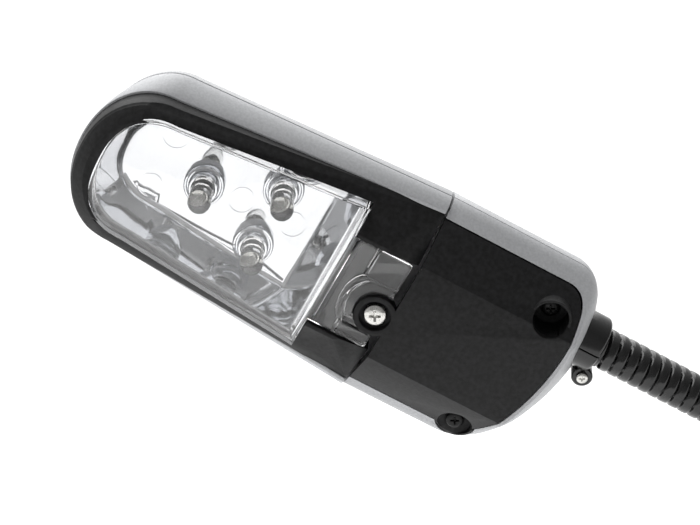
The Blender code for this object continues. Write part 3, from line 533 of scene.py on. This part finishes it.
def black_front(grow, depth, end=-SPLIT_GAP / 2):
    """Edge of the front module's bezel, grown by a margin."""
    return front_loop(BEZEL_HALF + grow, TIP_X - grow, end, depth)


def side_front(shrink, depth, wall=0.0):
    """Outside of the front module's silver shells, shrunk by a margin and set back from the split."""
    end = -SPLIT_GAP / 2 - wall
    return front_loop(SIDE_HALF - shrink, TIP_X + SIDE_TIP_BACK + shrink, end, depth, taper=SIDE_TAPER)


def window(grow, depth, end=WINDOW_END_X):
    """Edge of the bezel's window, grown by a margin."""
    shape = (WINDOW_TAPER, WINDOW_TIP_LENGTH, WINDOW_FULLNESS)
    return front_loop(WINDOW_HALF + grow, WINDOW_TIP_X - grow, end, depth, *shape)


# ---------------------------------------------------------------- the head's shells
CAP_STEPS = 14
CAP_SHRINK = 9.0 * MM  # how much smaller the cap's flat back is than its rim, all round
BAND_BULGE, BAND_LAP = 0.35 * MM, 1.8 * MM  # crown of a side band, and how far it laps inside


def cap_levels(outline):
    """Loops of a top cap: up its inside, over its rim and down its rounded outside."""
    inner, outer = [], []
    for i in range(CAP_STEPS + 1):
        angle = pi / 2 * i / CAP_STEPS
        shrink = CAP_SHRINK * (1 - cos(angle) ** 0.75) if i < CAP_STEPS else CAP_SHRINK
        share = sin(angle)

        def depth(x, y, share=share, lift=0.0):
            edge = parting(x) - GAP
            return edge + (lift - HEAD_DEPTH - edge) * share

        outer.append(outline(shrink, depth))
        inner.append(outline(shrink + WALL, lambda x, y, f=depth: f(x, y, lift=WALL), wall=WALL))
    return inner[::-1] + outer


def side_band(name, black, side, face):
    """A silver side frame: a band from the black face's edge out to the parting line, softly rounded."""

    def edge(x, y):
        return parting(x)

    inner, outer = black(GAP + RIM_WIDTH, face), side(0.0, edge)
    levels = [inner]
    for share in (0.25, 0.5, 0.75):
        bulge = BAND_BULGE * sin(pi * share)
        mixed = []
        for a, b in zip(inner, outer):
            point = Vector(a).lerp(Vector(b), share)
            # Outwards from a line inside each module; points on the split stay on it
            along = point.x - 8 * MM if point.x > 0 else min(0.0, point.x + 50 * MM)
            shift = Vector((along, point.y, 0)).normalized() * bulge
            on_split = abs(a[0] - inner[0][0]) < 1e-7
            mixed.append(tuple(point + Vector((0.0 if on_split else shift.x, shift.y, bulge))))
        levels.append(mixed)
    lapped = black(GAP, lambda x, y: face(x, y) - BAND_LAP)
    levels += [outer, side(WALL, edge), lapped, black(GAP, face)]
    return loft(name, [list(section) for section in zip(*levels)])


def head_piece(piece, material, slot, *nodes, smooth=38):
    """Hands over a piece modelled in the head frame."""
    return hand_over(piece, material, "head", slot, *nodes, place=HEAD, smooth=smooth)


def front_shells():
    """The front module's silver side frame and top cap."""
    band = side_band("front_silver_band", black_front, side_front, lambda x, y: -BLACK_DEPTH * 0.97)
    soften(band, 0.12 * MM)
    head_piece(band, SILVER, "silver_plastic", "front_side_frame")
    cap = loft("front_silver_cap", cap_levels(side_front))
    soften(cap, 0.15 * MM)
    head_piece(cap, SILVER, "silver_plastic", "front_top_cap")


def facet_planes():
    """The two planes, for the +y side, that drop the bezel's face into the side facets."""
    side = BEZEL_HALF + TAPER * FACET_TIP_X
    edge = Vector((FACET_TIP_X, side, -RIM_DROP))
    turn = Vector((FACET_TURN_X, PANEL_HALF, 0))
    back = Vector((0, PANEL_HALF, 0))
    low = Vector((0, BEZEL_HALF, -BLACK_DEPTH))
    for a, b, c in ((edge, turn, low), (turn, back, low)):
        normal = (b - a).cross(c - a).normalized()
        yield a, normal if normal.z > 0 else -normal


def facet(piece, sink=0.0):
    """Slices both sides' facets off a piece, sunk below the bezel's own by a wall."""
    for point, normal in facet_planes():
        for side in (1, -1):
            way = Vector((normal.x, side * normal.y, normal.z))
            slice_off(piece, Vector((point.x, side * point.y, point.z)) - way * sink, way)


def front_bezel():
    """The black bezel: a rounded rim, side facets, the window and a shelf under the lens's ears."""
    end = -SPLIT_GAP / 2
    step, edge = BEZEL_SLOPE, -RIM_DROP
    levels = [
        black_front(step, -BLACK_DEPTH),
        black_front(step * 0.35, edge - 0.5 * MM),
        black_front(step * 0.35 - 0.3 * MM, edge - 0.15 * MM),
        black_front(-0.1 * MM, edge),
        black_front(-RIM_BAND, 0),
    ]
    piece = loft("bezel", levels)
    facet(piece)
    hollow = loft(
        "hollow",
        [
            black_front(-1.3 * MM, -BLACK_DEPTH - MM, end - WALL),
            black_front(-1.3 * MM, -RIM_DROP - WALL, end - WALL),
            black_front(-RIM_BAND - 0.4 * MM, -WALL - 0.3 * MM, end - WALL),
        ],
    )
    facet(hollow, WALL)
    cut(piece, hollow)
    cut(piece, loft("opening", [window(0, -BLACK_DEPTH - MM), window(0, -0.22 * MM)]))
    lip = WINDOW_END_X - 0.2 * MM
    cut(piece, loft("mouth", [window(-BEZEL_LIP, -MM, lip), window(-BEZEL_LIP, MM, lip)]))
    low = (WINDOW_END_X - 0.5 * MM, -EAR_HALF - GAP, -BLACK_DEPTH - MM)
    cut(piece, box("ears", low, (MM, EAR_HALF + GAP, MM)))
    shelf = loft("shelf", [black_front(-1.0 * MM, z * MM, end - 1.2 * MM) for z in (-6.3, -5.5)])
    cut(shelf, box("clear", (-80 * MM, -30 * MM, -9 * MM), (WINDOW_END_X + 1.6 * MM, 30 * MM, MM)))
    cut(shelf, solid("hole", (*BOSS, -8 * MM), (0, 0, 1), [(0, 1.4 * MM), (5 * MM, 1.4 * MM)], 24))
    join(piece, shelf)
    soften(piece, 0.18 * MM, 2, 14)
    head_piece(piece, BLACK, "black_plastic", "front_bezel", smooth=30)


def rear_shells():
    """The rear module's silver side frame and top cap, bored for the collar, a well and the button."""
    band = side_band("rear_silver_band", black_rear, side_rear, lambda x, y: face_height(y))
    bore = [(0, COLLAR_RADIUS + GAP), (30 * MM, COLLAR_RADIUS + GAP)]
    axis = (SIDE_REAR[0] - 12 * MM, NECK_Y, -NECK_DEPTH)
    cut(band, solid("bore", axis, (1, 0, 0), bore, 64))
    x, y = WELLS[1]
    notch = WELL_RADIUS + CUP_WALL + 0.1 * MM
    cut(band, solid("notch", (x, y, -12 * MM), (0, 0, 1), [(0, notch), (13 * MM, notch)], 64))
    soften(band, 0.12 * MM)
    head_piece(band, SILVER, "silver_plastic", "rear_side_frame")
    cap = loft("rear_silver_cap", cap_levels(side_rear))
    mouth = BUTTON_RADIUS + GAP
    cut(cap, solid("mouth", (SWITCH_X, 0, -HEAD_DEPTH - MM), (0, 0, 1), [(0, mouth), (4 * MM, mouth)]))
    cut(cap, solid("bore", axis, (1, 0, 0), bore, 64))
    soften(cap, 0.15 * MM)
    head_piece(cap, SILVER, "silver_plastic", "rear_top_cap")


def rear_cover():
    """Black cover with its flat panel, side facets, two deep wells and the lens screw's boss."""
    wide = BLACK_HALF + 8 * MM
    drop = face_height(wide)
    section = [(-wide, drop), (-PANEL_HALF, 0), (PANEL_HALF, 0), (wide, drop)]
    section += [(wide, drop - WALL), (PANEL_HALF, -WALL), (-PANEL_HALF, -WALL), (-wide, drop - WALL)]
    start = SPLIT_GAP / 2
    piece = loft("cover", [[(x, y, z) for y, z in section] for x in (start - 8 * MM, 44 * MM)])
    combine(piece, loft("mask", [black_rear(0, -14 * MM), black_rear(0, 4 * MM)]), "INTERSECT")
    join(piece, solid("boss", (*BOSS, -3 * MM), (0, 0, 1), [(0, BOSS_RADIUS), (3 * MM, BOSS_RADIUS)], 64))
    well = [(0, BOSS_WELL_RADIUS), (4 * MM, BOSS_WELL_RADIUS)]
    cut(piece, solid("well", (*BOSS, -BOSS_WELL_DEPTH), (0, 0, 1), well, 64))
    hole = [(0, SCREW_HOLE), (8 * MM, SCREW_HOLE)]
    cut(piece, solid("hole", (*BOSS, -6 * MM), (0, 0, 1), hole, 24))
    for x, y in WELLS:
        outer = WELL_RADIUS + CUP_WALL
        rise = WELL_DEPTH + face_height(abs(y)) - 0.1 * MM
        cup = solid("cup", (x, y, -WELL_DEPTH), (0, 0, 1), [(0, outer), (rise, outer)], 64)
        if abs(y) + outer > BLACK_HALF:
            slope = Vector((0, copysign(0.55, y), 0.83))
            slice_off(cup, Vector((x, copysign(BLACK_HALF, y), -BLACK_DEPTH - 0.2 * MM)), slope)
        join(piece, cup)
        inside = (x, y, -WELL_DEPTH + CUP_FLOOR)
        cut(piece, solid("well", inside, (0, 0, 1), [(0, WELL_RADIUS), (11 * MM, WELL_RADIUS)], 64))
        hole = [(0, SCREW_HOLE), (4 * MM, SCREW_HOLE)]
        cut(piece, solid("hole", (x, y, -10 * MM), (0, 0, 1), hole, 24))
    soften(piece, 0.16 * MM, 2, 25)
    head_piece(piece, BLACK, "black_plastic", "rear_cover", smooth=30)


# ---------------------------------------------------------------- lens, reflector, lamps
def lens_cover():
    """Clear cover: a plate with a skirt behind the window, and two ears round the screw boss."""
    top = -LENS_DROP
    end = WINDOW_END_X - GAP
    piece = loft(
        "lens",
        [
            window(-GAP - 0.9 * MM, top - LENS_THICK, end - 0.9 * MM),
            window(-GAP - 0.9 * MM, top - LENS_SKIRT, end - 0.9 * MM),
            window(-GAP, top - LENS_SKIRT, end),
            window(-GAP, top, end),
        ],
    )
    low = (WINDOW_END_X - MM, -EAR_HALF, top - LENS_THICK)
    join(piece, box("ears", low, (EAR_END_X, EAR_HALF, top - 0.5 * MM), 0.2 * MM, 2))
    # Faces that would lie in one plane are kept this far apart, so that the solids join cleanly
    apart = 0.05 * MM
    for inner, outer in ((3.4 * MM, EAR_HALF - apart), (apart - EAR_HALF, -7.3 * MM)):
        low = (EAR_END_X - 7.4 * MM, inner, top - 4.3 * MM)
        high = (EAR_END_X - apart, outer, top - apart)
        join(piece, box("ear", low, high, 0.55 * MM, 3))
    low = (WINDOW_END_X + 0.5 * MM, -EAR_HALF + 0.6 * MM, top - LENS_SKIRT)
    high = (WINDOW_END_X + 1.3 * MM, EAR_HALF - 0.6 * MM, top - 0.4 * MM)
    join(piece, box("wall", low, high, 0.15 * MM, 2))
    clear = BOSS_RADIUS + GAP
    tall = 3.6 * MM
    collar = [(0, clear + 2.2 * MM), (0, clear + 3.1 * MM)]
    collar += [(tall, clear + 3.0 * MM), (tall, clear + 2.3 * MM)]
    ring = turned("ring", (*BOSS, top - 3.7 * MM), (0, 0, 1), collar + collar[:1], 64)
    low = (EAR_END_X - 3 * apart, -12 * MM, -8 * MM)
    cut(ring, box("open", low, (10 * MM, 12 * MM, MM)))
    join(piece, ring)
    cut(piece, solid("round", (*BOSS, -BLACK_DEPTH), (0, 0, 1), [(0, clear), (10 * MM, clear)], 64))
    soften(piece, 0.18 * MM, 2, 30)
    head_piece(piece, CLEAR, "clear_plastic", "lens_cover", smooth=30)


def reflector():
    """Chromed tray with drafted walls, stepped LED collars and the rings left by ejector pins."""
    skirt = LENS_DROP + LENS_SKIRT + GAP

    def tray(shrink, depth):
        return window(-GAP - shrink, -depth, WINDOW_END_X - GAP - shrink)

    fillet = 1.4 * MM
    inside = []
    for i in range(7):
        angle = pi / 2 * i / 6
        inset = TRAY_DRAFT + TRAY_WALL + fillet * (1 - sin(angle))
        inside.append(tray(inset, TRAY_FLOOR - fillet * (1 - cos(angle))))
    levels = inside + [tray(TRAY_WALL, skirt), tray(0, skirt), tray(TRAY_DRAFT, TRAY_FLOOR + TRAY_WALL)]
    piece = loft("reflector", levels)
    for x, y in LEDS:
        base = (x, y, -TRAY_FLOOR - TRAY_WALL * 0.5)
        steps = [(0, 4.6), (2.1, 4.55), (2.45, 4.3), (2.5, 4.0)]
        steps += [(2.1, 3.75), (2.1, 3.5), (3.8, 3.35), (4.1, 3.1)]
        join(piece, solid("collar", base, (0, 0, 1), [(a * MM, r * MM) for a, r in steps], 64))
        start = (x, y, -TRAY_FLOOR - 2 * TRAY_WALL)
        bore = 2.7 * MM
        cut(piece, solid("bore", start, (0, 0, 1), [(0, bore), (8 * MM, bore)], 48))
    for x, y, radius in EJECTORS:
        half = 0.12
        corners = ((-half, -half), (half, -half), (half, half), (-half, half), (-half, -half))
        profile = [(a * MM, (radius + r) * MM) for a, r in corners]
        cut(piece, turned("groove", (x * MM, y * MM, -TRAY_FLOOR), (0, 0, 1), profile, 64))
    head_piece(piece, CHROME, "chromed_plastic", "reflector_tray", smooth=35)


def leds():
    """Three domed LEDs with their cups and posts, on a board behind the tray; profiles are in mm."""
    board_top = -TRAY_FLOOR - TRAY_WALL - GAP
    for number, (x, y) in enumerate(LEDS, 1):
        profile = [(-15.8, 1.4), (-12.0, 1.4), (-12.0, 2.5)]
        for i in range(13):
            angle = pi / 2 * i / 12
            profile.append((-2.6 - 2.5 + 2.5 * sin(angle), max(0.001, 2.5 * cos(angle))))
        body = solid(f"led_lens_{number}", (x, y, 0), (0, 0, 1), [(a * MM, r * MM) for a, r in profile], 48)
        head_piece(body, EPOXY, "led_epoxy", f"led_{number}", smooth=40)
        cup = [(-9.6, 0.35), (-7.6, 0.5), (-6.9, 0.95), (-6.3, 1.15)]
        cup += [(-6.3, 1.0), (-6.75, 0.55), (-6.8, 0.45)]
        cup = [(a * MM, r * MM) for a, r in cup]
        post = solid(f"led_cup_{number}", (x - 0.4 * MM, y, 0), (0, 0, 1), cup, 24)
        head_piece(post, STEEL, "plated_steel")
        low = (x + 0.75 * MM, y - 0.3 * MM, -9.6 * MM)
        anvil = box(f"led_post_{number}", low, (x + 1.25 * MM, y + 0.3 * MM, -6.4 * MM), 0.1 * MM, 1)
        head_piece(anvil, STEEL, "plated_steel")
    outline = window(-GAP - TRAY_DRAFT - 2 * MM, 0, WINDOW_END_X - GAP - TRAY_DRAFT - 2 * MM)
    loops = [[(x, y, z) for x, y, _ in outline] for z in (board_top - MM, board_top)]
    head_piece(loft("led_circuit_board", loops), BOARD, "circuit_board", "led_board")


SEAT = 0.15 * MM  # gap under a screw's head


def screw(name, place, length, size, node, metal):
    """Pan-head cross-recess screw: domed head, tapered recess, threaded shank end."""
    profile = [(-length, 0.3 * MM), (-length + 0.8 * MM, 0.95 * MM * size)]
    turns = int(length / (0.5 * MM)) - 3
    for i in range(turns):
        at = -length + 0.9 * MM + i * 0.45 * MM
        profile += [(at, 0.72 * MM * size), (at + 0.22 * MM, 0.98 * MM * size)]
    profile += [(0, 0.8 * MM * size), (0, 2.4 * MM * size), (0.1 * MM * size, 2.5 * MM * size)]
    for i in range(1, 9):
        angle = pi / 2 * i / 8
        dome = max(0.02, 2.5 * cos(angle) ** 0.55)
        profile.append(((0.45 + 0.9 * sin(angle)) * MM * size, dome * MM * size))
    made = solid(name, (0, 0, 0), (0, 0, 1), profile, 40)
    for turn in (0, pi / 2):
        long, wide, deep = 1.45 * MM * size, 0.30 * MM * size, 0.35 * MM * size
        corners = ((-1, -1), (1, -1), (1, 1), (-1, 1))
        low = [(x * long * 0.45, y * wide * 0.7, deep) for x, y in corners]
        arm = loft("arm", [low, [(x * long, y * wide, 1.6 * MM * size) for x, y in corners]])
        arm.data.transform(Matrix.Rotation(turn + 0.5, 4, "Z"))
        cut(made, arm)
    soften(made, 0.05 * MM * size, 1, 40)
    made.data.transform(Matrix.Translation(Vector(place)))
    head_piece(made, metal, "plated_steel", node)


def head_screws():
    """The bright lens screw in its boss and the two dark cover screws at the bottom of their wells."""
    seat = (*BOSS, -BOSS_WELL_DEPTH + SEAT)
    screw("lens_fixing_screw", seat, 6 * MM, 1.0, "lens_screw", STEEL)
    for number, (x, y) in enumerate(WELLS, 1):
        seat = (x, y, -WELL_DEPTH + CUP_FLOOR + SEAT)
        screw(f"cover_fixing_screw_{number}", seat, 6 * MM, 0.8, f"cover_screw_{number}", DARK_STEEL)


def neck_clamp():
    """Split clamp collar in two halves, with a round screw lug on the lower one."""
    length = COLLAR_END_X - NECK_START_X + COLLAR_INSIDE
    start = (NECK_START_X - COLLAR_INSIDE, NECK_Y, -NECK_DEPTH)
    bore = NECK_RADIUS + GAP
    profile = [(0, bore), (0, COLLAR_RADIUS), (length - COLLAR_ROUND, COLLAR_RADIUS)]
    for i in range(1, 6):
        angle = pi / 2 * i / 5
        at = length - COLLAR_ROUND + COLLAR_ROUND * sin(angle)
        profile.append((at, COLLAR_RADIUS - COLLAR_ROUND * (1 - cos(angle))))
    profile += [(length, bore), (0, bore)]
    lug = (SIDE_REAR[0] + GAP + LUG_RADIUS, NECK_Y - COLLAR_RADIUS - 0.9 * MM)
    for half_name, side in (("upper", 1), ("lower", -1)):
        half = turned(f"clamp_{half_name}_half", start, (1, 0, 0), profile, 72)
        if side < 0:
            blunt = LUG_RADIUS - 0.3 * MM
            boss = [(0, blunt), (0.3 * MM, LUG_RADIUS), (4.9 * MM, LUG_RADIUS), (5.2 * MM, blunt)]
            join(half, solid("lug", (*lug, -NECK_DEPTH - 2.6 * MM), (0, 0, 1), boss, 48))
            hole = [(0, 0.8 * MM), (8 * MM, 0.8 * MM)]
            cut(half, solid("hole", (*lug, -NECK_DEPTH - 0.8 * MM), (0, 0, 1), hole, 24))
        # The other half's side is cut away, with half of the gap between them
        low_y = -20 * MM if side > 0 else NECK_Y - GAP / 2
        high_y = NECK_Y + GAP / 2 if side > 0 else 40 * MM
        cut(half, box("half", (20 * MM, low_y, -40 * MM), (60 * MM, high_y, 20 * MM)))
        soften(half, 0.12 * MM, 2, 40)
        head_piece(half, GLOSS, "black_plastic", f"neck_clamp_{half_name}")
    seat = (*lug, -NECK_DEPTH + 2.6 * MM + SEAT)
    screw("clamp_fixing_screw", seat, 3 * MM, 0.5, "clamp_screw", STEEL)


# ---------------------------------------------------------------- neck
def neck_path():
    """The neck's centre line by length from the head: straight, a bend, then straight down."""
    start = HEAD @ Vector((NECK_START_X, NECK_Y, -NECK_DEPTH))
    level = Vector((ALONG.x, ALONG.y, 0)).normalized()
    pitch = atan2(-ALONG.z, hypot(ALONG.x, ALONG.y))
    turn = (pi / 2 - pitch) * NECK_BEND
    total = NECK_STRAIGHT + turn + NECK_DROP

    def at(s):
        if s <= NECK_STRAIGHT:
            return start + ALONG * s, ALONG
        angle = min(pi / 2, pitch + (s - NECK_STRAIGHT) / NECK_BEND)
        across = NECK_BEND * (sin(angle) - sin(pitch))
        down = NECK_BEND * (cos(pitch) - cos(angle)) + max(0.0, s - NECK_STRAIGHT - turn)
        way = level * cos(angle) + Vector((0, 0, -sin(angle)))
        return start + ALONG * NECK_STRAIGHT + level * across - Vector((0, 0, down)), way

    return at, total, level.cross(Vector((0, 0, 1)))


def rib(phase):
    """Height of the wound cover at a share of its pitch: a rounded band and a narrow groove."""
    band = abs(2 * phase - 1)  # 0 on the crown, 1 in the groove
    return -RIB_CROWN * band**4 - (RIB_GROOVE - RIB_CROWN) * max(0.0, (band - 0.78) / 0.22)


def gooseneck():
    """One wound length per joint, from the middle of a link to the middle of the next, shaped along the
    neck's curve.
    """
    at, total, sideways = neck_path()
    links = 7
    length = total / links
    sides, step = 44, RIB_PITCH / 9
    for number in range(1, links):
        joint = total - length * number
        low = joint - length / 2 if number < links - 1 else 0.2 * MM
        high = joint + length / 2 if number > 1 else total
        count = max(2, round((high - low) / step))
        loops = []
        for i in range(count + 1):
            s = low + (high - low) * i / count
            centre, way = at(s)
            other = sideways.cross(way).normalized()
            loop = []
            for k in range(sides):
                angle = 2 * pi * k / sides
                radius = NECK_RADIUS + rib((s / RIB_PITCH + k / sides) % 1.0)
                loop.append(centre + (sideways * cos(angle) + other * sin(angle)) * radius)
            loops.append(loop)
        piece = loft(f"gooseneck_{number}", loops)
        nodes = [f"neck_{number + 1}"] + (["neck_1"] if number == 1 else [])
        hand_over(piece, VINYL, None, "gooseneck", *nodes, smooth=50)
        pivot, way = at(joint)
        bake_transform(piece)


# ---------------------------------------------------------------- clip
def refined(name, node, material, body, slot, width, *cutters, segments=3, angle=30):
    """A merged copy of a CAD node with rounded edges and any grooves cut in, standing for it."""
    source = bpy.data.objects[node]
    mesh = source.data.copy()
    mesh.transform(source.matrix_world)
    mesh.name = name
    made = bpy.data.objects.new(name, mesh)
    bpy.context.scene.collection.objects.link(made)
    tidy_mesh(made)
    soften(made, width, segments, angle)
    for cutter in cutters:
        cut(made, cutter)
    return hand_over(made, material, body, slot, node)


def world_points(node):
    """Where a CAD node's vertices are in the world."""
    source = bpy.data.objects[node]
    return [source.matrix_world @ v.co for v in source.data.vertices]


def box_of(node):
    """A CAD node's lowest and highest corner."""
    corners = world_points(node)
    return [[pick(c[i] for c in corners) for i in range(3)] for pick in (min, max)]


def groove_bars(low, high, axis, count, width):
    """Evenly spaced round-edged bars along one axis of a box, for cutting grooves."""
    bars = []
    for i in range(count):
        at = low[axis] + (high[axis] - low[axis]) * (i + 0.5) / count
        first, last = list(low), list(high)
        first[axis], last[axis] = at - width / 2, at + width / 2
        bars.append(box("bar", first, last, width * 0.3, 2))
    return bars


def clip_pieces():
    """The clip: housing with a seam, jaw, ribbed door, grooved pads, pin and spring."""
    low, high = box_of("clip_body")
    seam = []
    for y, side in ((low[1], -1), (high[1], 1)):
        deep = y - side * 0.35 * MM
        first = (low[0] + 4 * MM, min(y, deep) - 0.1 * MM, 10.8 * MM)
        seam.append(box("seam", first, (high[0] - 4 * MM, max(y, deep) + 0.1 * MM, 11.2 * MM)))
    refined("clip_housing", "clip_body", SILVER, "clip", "silver_plastic", 0.5 * MM, *seam)
    refined("clip_jaw", "lower_jaw", SILVER, "jaw", "silver_plastic", 0.45 * MM)
    low, high = box_of("battery_door")
    grip_low = (high[0] - 0.45 * MM, low[1] + 7 * MM, low[2] + 4.5 * MM)
    grip_high = (high[0] + MM, high[1] - 7 * MM, high[2] - 4.5 * MM)
    bars = groove_bars(grip_low, grip_high, 2, 4, 0.8 * MM)
    refined("battery_hatch", "battery_door", BLACK, "door", "black_plastic", 0.3 * MM, *bars)
    for side, body, face in (("upper", "clip", 0), ("lower", "jaw", 1)):
        low, high = box_of(f"{side}_pad")
        level = high[2] if face else low[2]
        first = (low[0] - MM, low[1] + 1.2 * MM, level - 0.5 * MM)
        last = (high[0] + MM, high[1] - 1.2 * MM, level + 0.5 * MM)
        bars = groove_bars(first, last, 1, 9, 1.0 * MM)
        refined(f"{side}_grip", f"{side}_pad", RUBBER, body, "rubber", 0.3 * MM, *bars)
    low, high = box_of("jaw_pin")
    middle = [(a + b) / 2 for a, b in zip(low, high)]
    length, radius = high[1] - low[1], (high[0] - low[0]) / 2
    profile = [(0, radius * 0.8), (0.3 * MM, radius), (length - 0.3 * MM, radius), (length, radius * 0.8)]
    pin = solid("hinge_pin", (middle[0], low[1], middle[2]), (0, 1, 0), profile, 40)
    hand_over(pin, STEEL, "clip", "plated_steel", "jaw_pin")
    refined("jaw_spring", "torsion_spring", STEEL, "clip", "plated_steel", 0.05 * MM, segments=1, angle=60)


def push_button():
    """Round button with a dished top and three raised rings."""
    inverse = HEAD.inverted()
    places = [inverse @ point for point in world_points("switch_button")]
    bottom, top = min(p.z for p in places), max(p.z for p in places)
    radius = max(hypot(p.x - SWITCH_X, p.y) for p in places)
    tall = top - bottom
    profile = [(0, 1.2 * MM), (0.35 * MM, 1.7 * MM)]
    for ring in (2.3, 2.8, 3.3):
        at = (ring - 0.25) * MM
        profile += [(0.3 * MM, at), (0.12 * MM, at + 0.1 * MM)]
        profile += [(0.12 * MM, at + 0.2 * MM), (0.3 * MM, at + 0.3 * MM)]
    profile = [(a, min(r, BUTTON_RADIUS - 0.25 * MM)) for a, r in profile]
    profile += [(0.3 * MM, BUTTON_RADIUS - 0.1 * MM), (0.6 * MM, BUTTON_RADIUS)]
    profile += [(tall * 0.7, BUTTON_RADIUS), (tall * 0.7, radius), (tall, radius)]
    made = solid("push_button", (SWITCH_X, 0, bottom), (0, 0, 1), profile, 56)
    hand_over(made, BUTTON, "button", "button_plastic", "switch_button", place=HEAD)


# ---------------------------------------------------------------- stage
def studio():
    """A white surround that darkens towards the front and the right, over a pale floor."""
    world = bpy.data.worlds.new("white_studio")
    bpy.context.scene.world = world
    world.use_nodes = True
    tree = world.node_tree
    way = add(tree, "ShaderNodeTexCoord").outputs["Generated"]
    parts = add(tree, "ShaderNodeSeparateXYZ", {"Vector": way})
    limits = ("From Min", "From Max", "To Min", "To Max")
    sides = []
    for axis, values in (("Y", (-0.75, 0.05, 0.36, 1.15)), ("X", (0.35, 0.95, 1.0, 0.3))):
        inputs = {"Value": parts.outputs[axis], **dict(zip(limits, values))}
        sides.append(add(tree, "ShaderNodeMapRange", inputs).outputs["Result"])
    both = add(tree, "ShaderNodeMath", operation="MULTIPLY")
    for socket, side in zip(both.inputs, sides):
        tree.links.new(side, socket)
    tree.links.new(both.outputs["Value"], tree.nodes["Background"].inputs["Strength"])
    tree.nodes["Background"].inputs["Color"].default_value = (1, 1, 1, 1)

    # The near edge's reflection divides white from grey in the chromed tray
    level, near, far, half = cad_box[0][2] - 1 * MM, HEAD.translation.y - 0.22, 4.0, 2.0
    verts = [(-half, near, level), (half, near, level), (half, far, level), (-half, far, level)]
    mesh = bpy.data.meshes.new("pale_floor")
    mesh.from_pydata(verts, [], [(0, 1, 2, 3)])
    floor = bpy.data.objects.new("pale_floor", mesh)
    bpy.context.scene.collection.objects.link(floor)
    made, tree, shader, place = finish("matt_white_board", "#fbfbfb", 0.9)
    grain(tree, shader, place, 2 * MM, 0.1, 0.05 * MM)
    mesh.materials.append(made)


def softbox(name, place, aim, size, power):
    """A rectangular area light turned towards a point."""
    made = bpy.data.objects.new(name, bpy.data.lights.new(name, "AREA"))
    bpy.context.scene.collection.objects.link(made)
    made.data.shape = "RECTANGLE"
    made.data.size, made.data.size_y = size
    made.data.energy = power
    made.location = place
    made.rotation_euler = (Vector(aim) - Vector(place)).to_track_quat("-Z", "Y").to_euler()


def lights():
    """One softbox whitens the floor behind; a weak one above rounds the head."""
    middle = HEAD @ Vector((-15 * MM, 0, 0))
    floor = Vector((0, 1.5, cad_box[0][2]))
    softbox("floor_softbox", Vector((0, 1.6, 2.2)), floor, (3.0, 3.0), 60.0)
    softbox("top_softbox", middle + Vector((-0.25, -0.2, 0.8)), middle, (0.7, 0.6), 4.6)


def camera():
    """A level view onto the lens face from 0.4 m, through a long lens, so that the head stays large."""
    sensor, focal, distance = 36.0, 99.67, 0.399
    made = bpy.data.objects.new("camera", bpy.data.cameras.new("camera"))
    bpy.context.scene.collection.objects.link(made)
    made.data.sensor_width = sensor
    made.data.lens = focal
    look = HEAD @ Vector((-12.4 * MM, 4.9 * MM, 0))
    made.location = look + Vector((-0.4 * MM, -distance, 0.8 * MM))
    made.rotation_euler = (radians(90), 0, 0)
    made.data.clip_start = 0.01
    bpy.context.scene.camera = made


FINISHES = {
    "silver_plastic": SILVER,
    "black_plastic": BLACK,
    "clear_plastic": CLEAR,
    "chromed_plastic": CHROME,
    "led_epoxy": EPOXY,
    "plated_steel": STEEL,
    "circuit_board": BOARD,
    "nickel_brass": BRASS,
    "button_plastic": BUTTON,
    "rubber": RUBBER,
    "battery": FILM,
    "gooseneck": VINYL,
}


def dress_cad():
    """Better materials on the CAD nodes whose shape is right."""
    for part in frame["record"]["subparts"]:
        node = bpy.data.objects[part["node"]]
        node.data.materials.clear()
        node.data.materials.append(FINISHES[part["material_slot"]])


dress_cad()
camera()
front_shells()
front_bezel()
rear_shells()
rear_cover()
lens_cover()
reflector()
leds()
head_screws()
neck_clamp()
gooseneck()
clip_pieces()
push_button()
studio()
lights()
bpy.context.scene.view_settings.view_transform = "Standard"
